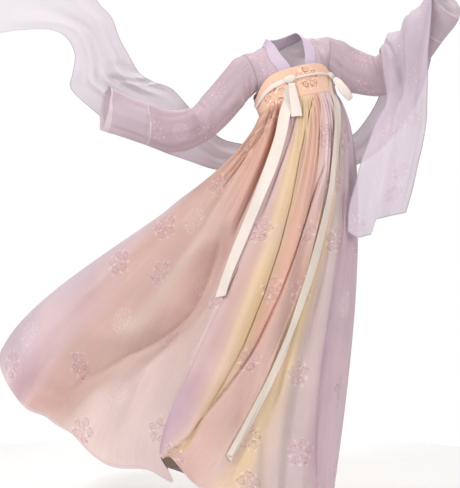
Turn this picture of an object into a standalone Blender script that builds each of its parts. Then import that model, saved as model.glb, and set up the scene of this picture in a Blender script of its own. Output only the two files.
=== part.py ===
# Hanfu robe set as it is worn: jacket, chest-high skirt, ties and shawl.
# Metres, +Z up. The garment faces -Y and +X is its wearer's left side.
# The origin lies between the shoulders, at the base of the neck.
# The tables are in centimetres, and CM turns them into metres.
import math

import bpy
import numpy as np

CM = 0.01
SEAM = 0.0003            # space left between two pieces that are sewn together

# Cloth
SHEER = 0.0015           # jacket, skirt and shawl
LINED = 0.0025           # chest band
TAPE = 0.0018            # ties

# The body leans, tilts back and turns under the cloth
LEAN = math.radians(17.0)
TILT = math.radians(9.0)
TURN = math.radians(17.0)

# Chest, in the body's own directions: across, front and up
CHEST_SHIFT = -0.018     # the chest lies to the right of the neck
CHEST_ACROSS = 0.132
CHEST_FRONT = 0.105
BAND_TOP = -0.098
BAND_BOTTOM = -0.195
BAND_DIP = 0.046         # its top edge runs lower under the arms
TIE_DROP = 0.030         # the tie lies this far below the band's top edge
TIE_LEVEL = 0.015        # and dips this much less under the arms
TIE_WIDTH = 0.012
TIE_CLEAR = 0.0007       # space between the tie and the flat facets of the band
CHEST_TURNS = np.linspace(0.0, 2 * math.pi, 48, endpoint=False)

# Armholes
ARMHOLE_ACROSS = 0.1325
ARMHOLE_SLOPE = 0.0145
ARMHOLE_FRONT = -0.004
ARMHOLE_UP = -0.056
ARMHOLE_HALF_HEIGHT = 0.062
ARMHOLE_HALF_DEPTH = 0.052

# Skirt
PANELS = 8
PANEL_COLUMNS = 13
SKIRT_ROWS = 11
PLEATS = 26
PLEAT_AT_BAND = 0.002
PLEAT_AT_HEM = 0.016
PLEAT_GROWTH = 0.8       # power by which the pleats deepen on the way down
PLEATS_BEGIN = 0.083     # share of the way down over which they come out of the band
SKIRT_START = 0.26       # how strongly the cloth leaves the band along the body
SKIRT_OUT = 3.0          # shares of outward, downward and onward in the way it leaves
SKIRT_DOWN = 0.9
SKIRT_ON = 0.5

# Colours
LAVENDER = (0.62, 0.52, 0.66)
VIOLET = (0.55, 0.45, 0.70)
PEACH = (0.90, 0.66, 0.48)
CREAM = (0.92, 0.86, 0.76)
PANEL_COLOURS = [
    (0.66, 0.55, 0.66),
    (0.86, 0.70, 0.50),
    (0.85, 0.60, 0.52),
    (0.72, 0.58, 0.66),
    (0.88, 0.66, 0.58),
    (0.80, 0.64, 0.68),
    (0.86, 0.66, 0.56),
    (0.74, 0.62, 0.70),
]


def remove_everything():
    for thing in list(bpy.data.objects):
        bpy.data.objects.remove(thing)


def unit(vectors):
    vectors = np.asarray(vectors, dtype=float)
    return vectors / np.linalg.norm(vectors, axis=-1, keepdims=True)


def body_directions():
    """The body's across, front and up directions."""
    up = unit([-math.sin(LEAN), math.sin(TILT) * math.cos(LEAN), math.cos(LEAN) * math.cos(TILT)])
    level = unit(np.cross([0.0, 1.0, 0.0], up))
    ahead = np.cross(level, up)
    across = level * math.cos(TURN) - ahead * math.sin(TURN)
    front = ahead * math.cos(TURN) + level * math.sin(TURN)
    return across, front, up


ACROSS, FRONT, UP = body_directions()


def body_point(across, front, up):
    """A point given on the body, as a place in the room."""
    across = np.asarray(across, dtype=float)[..., None]
    front = np.asarray(front, dtype=float)[..., None]
    up = np.asarray(up, dtype=float)[..., None]
    return across * ACROSS + front * FRONT + up * UP


def curve_through(rows, at):
    """A smooth curve through the rows, read at places from 0 to 1."""
    rows = np.asarray(rows, dtype=float)
    at = np.atleast_1d(np.asarray(at, dtype=float)) * (len(rows) - 1)
    start = np.clip(np.floor(at).astype(int), 0, len(rows) - 2)
    t = (at - start).reshape((-1,) + (1,) * (rows.ndim - 1))
    padded = np.concatenate([[2 * rows[0] - rows[1]], rows, [2 * rows[-1] - rows[-2]]])
    p0, p1, p2, p3 = (padded[start + k] for k in range(4))
    bend = 2 * p0 - 5 * p1 + 4 * p2 - p3
    twist = 3 * p1 - p0 - 3 * p2 + p3
    return 0.5 * (2 * p1 + (p2 - p0) * t + bend * t ** 2 + twist * t ** 3)


def closed_curve(angles, rows, at):
    """A smooth closed curve through rows given at angles, read at any angles in degrees."""
    angles = np.asarray(angles, dtype=float)
    rows = np.asarray(rows, dtype=float)
    knots = np.concatenate([angles[-2:] - 360.0, angles, angles[:2] + 360.0])
    values = np.concatenate([rows[-2:], rows, rows[:2]])
    at = np.mod(np.asarray(at, dtype=float) - angles[0], 360.0) + angles[0]
    k = np.clip(np.searchsorted(knots, at, side="right") - 1, 1, len(knots) - 3)
    span = (knots[k + 1] - knots[k])[:, None]
    t = (at - knots[k])[:, None] / span
    slope = (values[k + 1] - values[k - 1]) / (knots[k + 1] - knots[k - 1])[:, None] * span
    slope_next = (values[k + 2] - values[k]) / (knots[k + 2] - knots[k])[:, None] * span
    stay = 2 * t ** 3 - 3 * t ** 2 + 1
    go = 3 * t ** 2 - 2 * t ** 3
    return (stay * values[k] + go * values[k + 1]
            + (t ** 3 - 2 * t ** 2 + t) * slope + (t ** 3 - t ** 2) * slope_next)


def grid_normals(grid, closed):
    """The direction across the cloth at each point of a grid."""
    down = np.gradient(grid, axis=0)
    if closed:
        along = np.roll(grid, -1, axis=1) - np.roll(grid, 1, axis=1)
    else:
        along = np.gradient(grid, axis=1)
    return unit(np.cross(along, down))


def cloth_material(name, colour):
    material = bpy.data.materials.new(name)
    material.use_nodes = True
    shader = material.node_tree.nodes["Principled BSDF"]
    shader.inputs["Base Color"].default_value = (*colour, 1.0)
    shader.inputs["Roughness"].default_value = 0.7
    shader.inputs["Metallic"].default_value = 0.0
    return material


def add_mesh(name, points, faces, colour):
    mesh = bpy.data.meshes.new(name)
    mesh.from_pydata([tuple(p) for p in points], [], faces)
    mesh.shade_smooth()
    mesh.set_sharp_from_angle(angle=math.radians(50.0))
    mesh.materials.append(cloth_material(name, colour))
    thing = bpy.data.objects.new(name, mesh)
    bpy.context.scene.collection.objects.link(thing)
    return thing


def wall(name, grid, thickness, colour, closed=False, normals=None):
    """A wall of cloth: its outer face is the grid, its inner face lies a thickness behind.

    Its edges are triangles cut the same way on both sides of a seam, so that the pieces fit.
    """
    if normals is None:
        normals = grid_normals(grid, closed)
    rows, columns = grid.shape[:2]
    points = np.concatenate([grid.reshape(-1, 3), (grid - normals * thickness).reshape(-1, 3)])
    inner = rows * columns
    faces = []
    for i in range(rows - 1):
        for j in range(columns if closed else columns - 1):
            a = i * columns + j
            b = i * columns + (j + 1) % columns
            c = b + columns
            d = a + columns
            if np.linalg.norm(points[a] - points[c]) < np.linalg.norm(points[b] - points[d]):
                halves = ((a, b, c), (a, c, d))
            else:
                halves = ((a, b, d), (b, c, d))
            for p, q, r in halves:
                faces += [(p, q, r), (inner + r, inner + q, inner + p)]
    last = (rows - 1) * columns
    for j in range(columns if closed else columns - 1):
        k = (j + 1) % columns
        faces += [(k, j, inner + k), (j, inner + j, inner + k)]
        faces += [(last + j, last + k, inner + last + k), (last + j, inner + last + k, inner + last + j)]
    if not closed:
        for i in range(rows - 1):
            a = i * columns
            b = a + columns - 1
            c = a + columns
            d = b + columns
            faces += [(a, c, inner + c), (a, inner + c, inner + a)]
            faces += [(d, b, inner + d), (b, inner + b, inner + d)]
    return add_mesh(name, points, faces, colour)


# Chest band and the tie round it
def band_top(turn):
    """Height of the band's top edge round the chest."""
    return BAND_TOP - BAND_DIP * np.cos(turn) ** 6


def chest_ring(turn, up, out):
    across = CHEST_SHIFT + (CHEST_ACROSS + out) * np.cos(turn)
    front = (CHEST_FRONT + out) * np.sin(turn)
    return body_point(across, front, up)


def tie_top(turn):
    """Height of the tie's top edge, which dips less than the band's."""
    return band_top(turn) - TIE_DROP + TIE_LEVEL * np.cos(turn) ** 6


def chest_grid(rows, top, bottom, out):
    """Rings round the chest between two heights given for each turn."""
    share = np.linspace(0.0, 1.0, rows)[:, None]
    up = top + (bottom - top) * share
    return chest_ring(CHEST_TURNS + 0 * up, up, out)


def make_band():
    grid = chest_grid(4, band_top(CHEST_TURNS), BAND_BOTTOM + 0 * CHEST_TURNS, 0.0)
    wall("chest_band", grid, LINED, PEACH, closed=True)
    top = tie_top(CHEST_TURNS)
    tie = chest_grid(2, top, top - TIE_WIDTH, TAPE + TIE_CLEAR)
    wall("tie_round", tie, TAPE, CREAM, closed=True)


# Skirt: a row for each fold, from the right-hand seam of the front round to the back.
# turn in degrees, then the place of the cloth half way down and at the hem, and its pleat depth
SKIRT_FOLDS = [
    # turn, mid x, mid y, mid z, hem x, hem y, hem z, pleat
    (0, 22.5, 2, -77.5, 15.0, 3, -146, 0.8),
    (20, 20.5, -9, -78.0, 13.5, -10, -145, 0.8),
    (45, 14.5, -19, -78.5, 8.0, -27, -142.5, 0.8),
    (70, 5.0, -24, -78.5, -2.0, -36, -140.5, 0.9),
    (90, -4.5, -27, -78.0, -13.5, -42, -137.5, 0.9),
    (104, -13.5, -27, -78.0, -27.0, -43, -132.5, 0.8),
    (113, -19.0, -25, -77.0, -37.5, -40, -124.0, 0.3),
    (120, -22.5, -22, -78.0, -34.5, -31, -133.0, 0.2),
    (127, -26.0, -19, -79.0, -42.5, -25, -130.5, 0.3),
    (138, -32.0, -15, -79.0, -55.5, -20, -130.0, 0.5),
    (148, -38.0, -12, -77.0, -68.0, -15, -122.0, 0.4),
    (157, -42.0, -8, -73.5, -75.0, -9, -117.0, 0.4),
    (165, -45.5, -3, -68.5, -83.0, -1, -115.0, 0.2),
    (173, -48.0, -2, -64.0, -88.5, -3, -107.0, 0.3),
    (182, -50.0, 5, -60.0, -92.5, 8, -99.5, 0.3),
    (196, -46.5, 12, -61.5, -87.5, 19, -106.5, 0.5),
    (215, -36.0, 19, -67.5, -67.5, 32, -125.5, 0.8),
    (240, -20.5, 23, -73.0, -42.0, 38, -140.0, 1.0),
    (270, -2.5, 23, -76.5, -16.0, 37, -147.5, 1.0),
    (300, 12.0, 18, -78.0, 4.0, 29, -149.5, 1.0),
    (330, 20.5, 10, -78.0, 12.5, 16, -148.5, 1.0),
]


def skirt_base(turn, down):
    """The skirt without its pleats: turn in degrees, down from 0 at the band to 1 at the hem."""
    turn = np.asarray(turn, dtype=float)
    down = np.asarray(down, dtype=float)[:, None]
    table = np.array(SKIRT_FOLDS, dtype=float)
    folds = closed_curve(table[:, 0], table[:, 1:7] * CM, turn)
    mid, hem = folds[:, 0:3], folds[:, 3:6]
    radians = np.radians(turn)
    start = chest_ring(radians, np.full_like(turn, BAND_BOTTOM - SEAM), 0.0)
    centre = body_point(CHEST_SHIFT, 0.0, BAND_BOTTOM)
    heading = (start - centre) * SKIRT_OUT - UP * SKIRT_DOWN + (mid - start) * SKIRT_ON
    second = start + unit(heading) * SKIRT_START
    third = (8 * mid - start - 3 * second - hem) / 3
    return ((1 - down) ** 3 * start + 3 * down * (1 - down) ** 2 * second
            + 3 * down ** 2 * (1 - down) * third + down ** 3 * hem)


def skirt_normal(turn, down):
    degree_step = 0.5
    down_step = 0.004
    along = skirt_base(turn + degree_step, down) - skirt_base(turn - degree_step, down)
    lower = np.clip(down + down_step, 0.0, 1.0)
    upper = np.clip(down - down_step, 0.0, 1.0)
    fall = skirt_base(turn, lower) - skirt_base(turn, upper)
    return unit(np.cross(along, fall))


def pleat_depth(turn, down):
    table = np.array(SKIRT_FOLDS, dtype=float)
    share = closed_curve(table[:, 0], table[:, 7:8], turn)[:, 0]
    return PLEAT_AT_BAND + (PLEAT_AT_HEM * share - PLEAT_AT_BAND) * down ** PLEAT_GROWTH


def skirt_face(turn, down):
    """The skirt with its pleats, one value of down for each value of turn."""
    depth = pleat_depth(turn, down) * np.clip(down / PLEATS_BEGIN, 0.0, 1.0)
    wave = np.cos(np.radians(turn) * PLEATS)
    return skirt_base(turn, down) + skirt_normal(turn, down) * (depth * wave)[:, None]


def make_skirt():
    columns = PANELS * PANEL_COLUMNS
    turns = np.arange(columns) * 360.0 / columns
    downs = np.linspace(0.0, 1.0, SKIRT_ROWS)
    ring = np.array([skirt_face(turns, np.full(columns, d)) for d in downs])
    normals = grid_normals(ring, True)
    along = unit(np.roll(ring, -1, axis=1) - np.roll(ring, 1, axis=1))
    for panel in range(PANELS):
        pick = (np.arange(PANEL_COLUMNS + 1) + panel * PANEL_COLUMNS) % columns
        grid = ring[:, pick].copy()
        grid[:, 0] += along[:, pick[0]] * SEAM / 2
        grid[:, -1] -= along[:, pick[-1]] * SEAM / 2
        wall(f"skirt_panel_{panel + 1}", grid, SHEER, PANEL_COLOURS[panel], normals=normals[:, pick])


# Jacket half: a row for each height from the front hem over the shoulder to the back hem,
# with the collar's free edge, the seam of the collar, the middle of the cloth and its outer
# edge, in the body's directions. An armhole angle takes the place of the outer edge there.
JACKET = [
    # collar edge        collar seam          middle               outer edge or armhole angle
    (1.3, 8.6, -33), (5.0, 7.8, -33), (8.0, 6.2, -33), (10.8, -0.3, -33), None,
    (1.2, 8.8, -27), (5.0, 8.0, -27), (8.2, 6.2, -27), (11.0, -0.3, -27), None,
    (1.2, 9.2, -20), (5.0, 8.4, -20), (8.5, 6.5, -20), (11.6, -0.3, -20), None,
    (1.6, 9.4, -14), (5.4, 8.6, -13.8), (8.6, 6.7, -13.4), None, 176,
    (2.6, 9.3, -9), (6.6, 8.0, -9), (9.4, 6.2, -9), None, 130,
    (4.0, 6.6, -4), (8.0, 5.8, -4.5), (10.6, 4.6, -4.6), None, 75,
    (4.9, 3.6, 1.2), (7.6, 3.0, 0), (10.8, 2.6, -0.6), None, 32,
    (5.2, 0.4, 4.0), (7.2, -0.2, 1.8), (10.8, -0.2, 1.0), None, 0,
    (4.5, -2.4, 4.8), (6.6, -3.4, 2.2), (10.6, -3.2, 0.8), None, -32,
    (2.8, -4.4, 5.0), (4.0, -5.6, 2.2), (9.2, -6.0, 0.0), None, -60,
    (0.015, -5.2, 5.0), (0.015, -6.8, 1.4), (7.8, -7.8, -2.0), None, -85,
    None, (0.015, -8.6, -6), (7.4, -8.6, -7), None, -125,
    None, (0.015, -9.2, -13.4), (7.2, -7.8, -13.4), None, -176,
    None, (0.015, -9.0, -20), (7.0, -7.4, -20), (11.6, -0.5, -20), None,
    None, (0.015, -8.6, -27), (6.6, -7.0, -27), (11.0, -0.5, -27), None,
    None, (0.015, -8.5, -33), (6.5, -6.9, -33), (10.8, -0.5, -33), None,
]
NECK_ROW = 10            # the row at the nape, where the collar ends and the back seam begins
FRONT_ROWS = 21          # rows of points from the front hem to the nape
BACK_ROWS = 11           # and from there to the back hem
JACKET_COLUMNS = 6
COLLAR_CLEAR = 0.0006
ARMHOLE_BOTTOM = ARMHOLE_UP - ARMHOLE_HALF_HEIGHT


def armhole(angle, side):
    """A point of the armhole, in the body's directions; 0 degrees is on top, 90 in front."""
    angle = np.radians(angle)
    across = ARMHOLE_ACROSS + ARMHOLE_SLOPE * np.cos(angle)
    front = ARMHOLE_FRONT + ARMHOLE_HALF_DEPTH * np.sin(angle)
    up = ARMHOLE_UP + ARMHOLE_HALF_HEIGHT * np.cos(angle)
    return np.stack([side * across, front, up], axis=-1)


def armhole_facing(side):
    """The direction out through the armhole."""
    slope = ARMHOLE_SLOPE / ARMHOLE_HALF_HEIGHT
    sway = CHEST_SHIFT / ARMHOLE_BOTTOM
    return unit(ACROSS * side - UP * (slope + side * sway))


def jacket_place(points):
    """Points in the body's directions, moved over with the chest, as places in the room."""
    points = np.asarray(points, dtype=float)
    share = np.clip(points[..., 2] / ARMHOLE_BOTTOM, 0.0, 1.0)
    return body_point(points[..., 0] + CHEST_SHIFT * share, points[..., 1], points[..., 2])


def jacket_rows(side):
    """The table's rows for one side: collar edges, and seam, middle and outer points."""
    collar, body, angles = [], [], []
    mirror = np.array([side, 1.0, 1.0]) * CM
    for row, (free, seam, middle, outer, angle) in enumerate(zip(*(iter(JACKET),) * 5)):
        if free is not None:
            collar.append([np.array(free) * mirror, np.array(seam) * mirror])
        if angle is not None:
            angles.append((row, angle))
        edge = armhole(angle, side) if outer is None else np.array(outer) * mirror
        body.append([np.array(seam) * mirror, np.array(middle) * mirror, edge])
    return np.array(collar), np.array(body), np.array(angles)


def outer_edge(body, angles, at, side):
    """The outer edge at places given in table rows: side seam, armhole and side seam again."""
    table_rows = np.arange(len(body))
    seam = np.stack([np.interp(at, table_rows, body[:, 2, k]) for k in range(3)], axis=-1)
    hole = armhole(np.interp(at, angles[:, 0], angles[:, 1]), side)
    in_hole = (at >= angles[0, 0]) & (at <= angles[-1, 0])
    return np.where(in_hole[:, None], hole, seam)


def turned_clear(vectors, direction):
    """The vectors, with any part that points against a direction taken out."""
    against = np.minimum(vectors @ direction, 0.0)
    return unit(vectors - against[..., None] * direction)


def jacket_half(side):
    """A jacket half in the body's directions: rows of points, and its collar strip."""
    collar, body, angles = jacket_rows(side)
    front = curve_through(body[:NECK_ROW + 1], np.linspace(0.0, 1.0, FRONT_ROWS))
    back = curve_through(body[NECK_ROW:], np.linspace(0.0, 1.0, BACK_ROWS))
    rows = np.concatenate([front, back[1:]])
    at = np.linspace(0.0, len(body) - 1, len(rows))
    rows[:, 2] = outer_edge(body, angles, at, side)
    across = curve_through(np.swapaxes(rows, 0, 1), np.linspace(0.0, 1.0, JACKET_COLUMNS))
    grid = np.swapaxes(across, 0, 1)
    grid[..., 0] = side * np.maximum(side * grid[..., 0], SEAM / 2)
    strip = curve_through(collar, np.linspace(0.0, 1.0, FRONT_ROWS))
    strip[:, 1] = grid[:FRONT_ROWS, 0]
    return grid, strip


def make_jacket():
    strips = []
    for side, name in ((-1.0, "jacket_right"), (1.0, "jacket_left")):
        grid, strip = jacket_half(side)
        strips.append(strip)
        grid = jacket_place(grid)
        if side < 0:
            grid = grid[:, ::-1]
        normals = grid_normals(grid, False)
        inner, outer = (0, -1) if side > 0 else (-1, 0)
        normals[FRONT_ROWS - 1:, inner] = turned_clear(normals[FRONT_ROWS - 1:, inner], -side * ACROSS)
        normals[:, outer] = turned_clear(normals[:, outer], armhole_facing(side))
        wall(name, grid, SHEER, LAVENDER, normals=normals)
    right, left = strips
    strip = np.concatenate([right, left[-2::-1]])
    free, seam = jacket_place(strip[:, 0]), jacket_place(strip[:, 1])
    seam += unit(free - seam) * COLLAR_CLEAR
    share = np.linspace(0.0, 1.0, 4)[None, :, None]
    grid = seam[:, None] * (1 - share) + free[:, None] * share
    wall("collar", grid, LINED, VIOLET)


# Sleeves: a row for each section from the armhole to the cuff
SLEEVE_RIGHT = [
    # x, y, z, half height, lean in degrees, half depth
    (-15.0, -5.0, -12.0, 6.4, -24, 5.2),
    (-19.1, -6.0, -17.1, 5.9, -42, 4.9),
    (-22.9, -8.0, -21.3, 5.8, -45, 4.7),
    (-27.0, -10.0, -24.7, 5.9, -33, 4.8),
    (-32.5, -12.0, -27.1, 6.4, -17, 4.8),
    (-38.0, -14.0, -27.6, 6.7, -10, 4.6),
    (-43.2, -16.5, -26.1, 6.5, -1, 4.5),
    (-48.7, -19.0, -24.2, 6.4, 5, 4.4),
    (-55.4, -22.0, -21.5, 6.8, 10, 4.3),
]
SLEEVE_LEFT = [
    (19.4, 3.5, -5.7, 7.6, -2, 5.0),
    (23.9, 4.0, -7.2, 7.3, -4, 4.9),
    (28.6, 3.0, -8.3, 6.8, -10, 4.9),
    (32.5, 2.0, -7.6, 6.5, -17, 4.9),
    (36.2, 0.0, -5.1, 6.5, -29, 4.8),
    (40.2, -3.0, -1.1, 6.4, -40, 4.6),
    (44.5, -7.0, 4.6, 6.1, -50, 4.4),
    (47.8, -11.0, 8.6, 5.9, -52, 4.3),
    (49.4, -14.0, 11.7, 5.6, -56, 4.2),
]
SLEEVE_POINTS = 22
CUFF_SHARE = 0.78        # the cuff panel begins this far along the sleeve
SLEEVE_FOLD = 0.0035     # depth of the soft folds, their number round the sleeve and their twist
SLEEVE_FOLDS = 3
SLEEVE_TWIST = 9.0


def sleeve_rings(side, table, at):
    """Rings of a sleeve at places from 0 at the armhole to 1 at the cuff's edge."""
    angle = np.linspace(0.0, 360.0, SLEEVE_POINTS, endpoint=False)
    table = np.array(table)
    first = jacket_place(armhole(angle, side))
    first += armhole_facing(side) * SEAM
    centres = np.concatenate([[first.mean(axis=0)], table[:, 0:3] * CM])
    heading = unit(np.gradient(centres, axis=0))
    turn = np.radians(angle)[:, None]
    rings = [first]
    for row, centre, ahead in zip(table, centres[1:], heading[1:]):
        lean = math.radians(row[4])
        top = np.array([math.sin(lean), 0.0, math.cos(lean)])
        front = unit(np.cross(top, ahead))
        if front[1] > 0:
            front = -front
        ring = centre + np.cos(turn) * top * row[3] * CM + np.sin(turn) * front * row[5] * CM
        rings.append(ring)
    rings = curve_through(np.array(rings), at)
    middle = rings.mean(axis=1, keepdims=True)
    way = np.atleast_1d(at)[:, None]
    fold = np.sin(SLEEVE_FOLDS * turn.T + SLEEVE_TWIST * way) * np.sin(math.pi * way)
    return rings + unit(rings - middle) * fold[..., None] * SLEEVE_FOLD


def make_sleeves():
    for side, word, table in ((-1.0, "right", SLEEVE_RIGHT), (1.0, "left", SLEEVE_LEFT)):
        upper = sleeve_rings(side, table, np.linspace(0.0, CUFF_SHARE, 13))
        lower = sleeve_rings(side, table, np.linspace(CUFF_SHARE, 1.0, 4))
        ahead = unit(lower[1].mean(axis=0) - lower[0].mean(axis=0))
        lower[0] += ahead * SEAM
        if side < 0:
            upper, lower = upper[:, ::-1], lower[:, ::-1]
        normals = grid_normals(upper, True)
        normals[0] = turned_clear(normals[0], -armhole_facing(side))
        normals[-1] = turned_clear(normals[-1], ahead)
        wall(f"sleeve_{word}", upper, SHEER, LAVENDER, closed=True, normals=normals)
        normals = grid_normals(lower, True)
        normals[0] = turned_clear(normals[0], -ahead)
        wall(f"cuff_{word}", lower, SHEER, LAVENDER, closed=True, normals=normals)


# Shawl: a row for each section, with its lower or outer edge and its upper or inner edge
SHAWL = [
    # edge x, y, z, edge x, y, z
    (-104.5, -6, 9.5, -79.0, -6, 39.5),
    (-93.0, -7, 4.0, -69.0, -7, 27.0),
    (-83.0, -8, 4.5, -63.0, -8, 19.5),
    (-74.5, -9, 4.5, -58.5, -9, 12.5),
    (-69.0, -10, 2.0, -54.5, -10, 8.0),
    (-66.0, -11, -3.5, -52.0, -10, 1.5),
    (-66.5, -12, -9.5, -49.0, -10, -4.0),
    (-67.0, -12, -14.5, -46.0, -9, -9.0),
    (-61.0, -11, -20.5, -42.0, -7, -11.5),
    (-50.5, -8, -28.5, -36.0, -4, -13.5),
    # behind the body
    (-40.0, -3, -33.0, -31.0, 0, -18.5),
    (-30.5, 4, -36.0, -25.5, 7, -24.0),
    (-23.0, 12, -38.0, -20.0, 14, -28.0),
    (-13.0, 18, -39.5, -11.5, 18, -29.5),
    (-3.0, 20, -40.0, -2.5, 20, -30.0),
    (8.0, 20, -39.5, 8.0, 20, -29.5),
    # over the left forearm
    (17.5, 17, -38.0, 17.5, 17, -28.0),
    (26.5, 15, -35.5, 23.0, 16, -26.5),
    (35.5, 12, -28.0, 28.0, 14, -20.5),
    (43.0, 8, -17.5, 31.5, 12, -13.5),
    (47.0, 3, -4.0, 31.5, 10, -7.0),
    (47.5, -3, 9.0, 31.0, 7, -1.5),
    (45.5, -10, 16.5, 30.5, 2.5, 0.5),
    (44.5, -17, 13.0, 30.0, -3.5, -1.5),
    (44.0, -19, 7.5, 30.0, -7, -5.5),
    (43.5, -19, 2.0, 30.5, -7.5, -10.0),
    (43.0, -18, -4.0, 31.5, -7.5, -15.5),
    (43.0, -17, -11.0, 31.0, -8, -20.0),
    (43.0, -16, -18.0, 28.0, -9, -25.0),
    (43.0, -15, -24.5, 25.5, -11, -31.0),
    (42.0, -14, -32.0, 23.0, -13, -36.5),
    (40.5, -13, -39.0, 21.0, -15, -43.0),
    (39.0, -12.5, -46.0, 19.0, -16, -49.5),
    (37.0, -12, -53.0, 18.5, -16, -57.0),
]
SHAWL_FOLDS = 2.5        # waves across the shawl's width
SHAWL_FOLD_DEPTH = 0.007
SHAWL_FOLD_AT_EDGE = 0.4
SHAWL_SWAY = 1.3         # how far the waves wander across, and how often along the shawl
SHAWL_SWAYS = 3.15
SHAWL_COLUMNS = 12
SHAWL_ROWS = 50
SHAWL_STRETCHES = (("shawl_flying", 0, 15), ("shawl_behind", 15, 24), ("shawl_arm", 24, 49))


def shawl_grid():
    """Cloth between the two edges of the table, in waves that are weaker at its edges."""
    table = np.array(SHAWL, dtype=float) * CM
    edges = curve_through(table.reshape(-1, 2, 3), np.linspace(0.0, 1.0, SHAWL_ROWS))
    share = np.linspace(0.0, 1.0, SHAWL_COLUMNS)
    grid = edges[:, :1] * (1 - share[:, None]) + edges[:, 1:] * share[:, None]
    along = np.linspace(0.0, 2 * math.pi, SHAWL_ROWS)[:, None]
    wave = np.sin(2 * math.pi * SHAWL_FOLDS * share + SHAWL_SWAY * np.sin(SHAWL_SWAYS * along))
    wave = wave * (SHAWL_FOLD_AT_EDGE + (1 - SHAWL_FOLD_AT_EDGE) * np.sin(math.pi * share))
    return grid + grid_normals(grid, False) * (wave * SHAWL_FOLD_DEPTH)[..., None]


def make_shawl():
    whole = shawl_grid()
    normals = grid_normals(whole, False)
    for name, first, last in SHAWL_STRETCHES:
        grid = whole[first:last + 1].copy()
        if first > 0:
            grid[0] += unit(grid[1] - grid[0]) * SEAM
        wall(name, grid, SHEER, LAVENDER, normals=normals[first:last + 1])


# Ties: a tail lies over the skirt, and a row gives the turn and the way down there.
# Above the skirt the way down is negative, and the tail lies on the band.
TAIL_RIGHT = [
    # turn, down
    (110, -0.0355), (115, -0.018), (123, 0.01), (130, 0.06), (132, 0.13), (130, 0.20),
    (126, 0.27), (121, 0.33), (118, 0.39), (115, 0.45), (112, 0.51),
]
TAIL_LEFT = [
    (42, -0.035), (46, -0.018), (50, 0.01), (58, 0.07), (63, 0.15), (65, 0.23), (64, 0.33),
    (66, 0.42), (69, 0.51), (74, 0.59), (80, 0.67), (87, 0.75), (94, 0.85),
]
TAIL_WIDTH = 0.032
TAIL_CLEAR = 0.006
TAIL_LIFT_FROM = -0.02   # the way down at which a tail begins to lift over the pleats
TAIL_LIFT_OVER = 0.08
TAIL_TURN_OVER = 0.05    # the way down over which it turns from the band to the skirt
SKIRT_LENGTH = 1.28
KNOT_HALF = (0.019, 0.009, 0.014)     # along the tie, outward and up
KNOT_RINGS = 8
KNOT_SIDES = 14
KNOT_WAIST = 0.12
KNOT_TURNS = {"right": 108.0, "left": 37.0}

# The loop of the left bow leaves its knot, turns back at its end and comes in behind
LOOP = [
    # x, y, z, width
    (15.2, -6.65, -10.5, 1.2), (16.2, -8.2, -11.9, 2.3), (17.5, -9.4, -13.8, 2.9), (18.8, -9.8, -15.6, 2.9),
    (19.9, -9.2, -17.0, 2.9), (20.1, -8.2, -17.2, 2.9), (19.2, -7.4, -16.0, 2.9), (17.8, -7.0, -14.2, 2.6),
    (16.3, -6.8, -12.2, 1.6),
]
LOOP_SIDE = (0.80, 0.0, 0.60)
SHORT_END = [
    (1.3, -14.35, -12.95, 2.0), (1.9, -15.2, -16.4, 2.6), (2.5, -16.3, -20.2, 3.1), (2.9, -17.2, -23.6, 3.5),
]
SHORT_END_SIDE = (1.0, 0.0, 0.10)


def band_normal(turn):
    """The direction out of the band at turns in radians."""
    along = chest_ring(turn + 0.01, BAND_BOTTOM, 0.0) - chest_ring(turn - 0.01, BAND_BOTTOM, 0.0)
    return unit(np.cross(along, -UP))


def surface_at(turn, down):
    """Places and outward directions on the skirt, or on the band above it."""
    places, outward = [], []
    for t, d in zip(turn, down):
        one = np.array([t])
        on_skirt = min(max(d / TAIL_TURN_OVER, 0.0), 1.0)
        place = skirt_base(one, np.array([max(d, 0.0)]))[0]
        places.append(place + UP * max(-d, 0.0) * SKIRT_LENGTH)
        band = band_normal(np.radians(one))[0]
        outward.append(band + (skirt_normal(one, np.array([max(d, 0.01)]))[0] - band) * on_skirt)
    return np.array(places), unit(outward)


def tail_grid(route, rows):
    """A flat tape over the pleats, along a route on the skirt."""
    route = curve_through(np.array(route, dtype=float), np.linspace(0.0, 1.0, rows))
    turn, down = route.T
    places, outward = surface_at(turn, down)
    peak = pleat_depth(turn, np.maximum(down, 0.0))
    ramp = np.clip((down - TAIL_LIFT_FROM) / TAIL_LIFT_OVER, 0.0, 1.0)
    out = TAPE + TIE_CLEAR + ramp * (peak + TAIL_CLEAR)
    centre = places + outward * out[:, None]
    ahead = unit(np.gradient(centre, axis=0))
    side = unit(np.cross(ahead, outward))
    across = np.linspace(-0.5, 0.5, 4)[None, :, None] * TAIL_WIDTH
    return centre[:, None] + side[:, None] * across


def tape_grid(route, side):
    """A tape along a route of places and widths, with its width along one direction."""
    route = curve_through(np.array(route) * CM, np.linspace(0.0, 1.0, 3 * len(route)))
    across = np.linspace(0.5, -0.5, 4)[None, :, None]
    return route[:, None, :3] + unit(side) * across * route[:, None, 3:]


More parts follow.
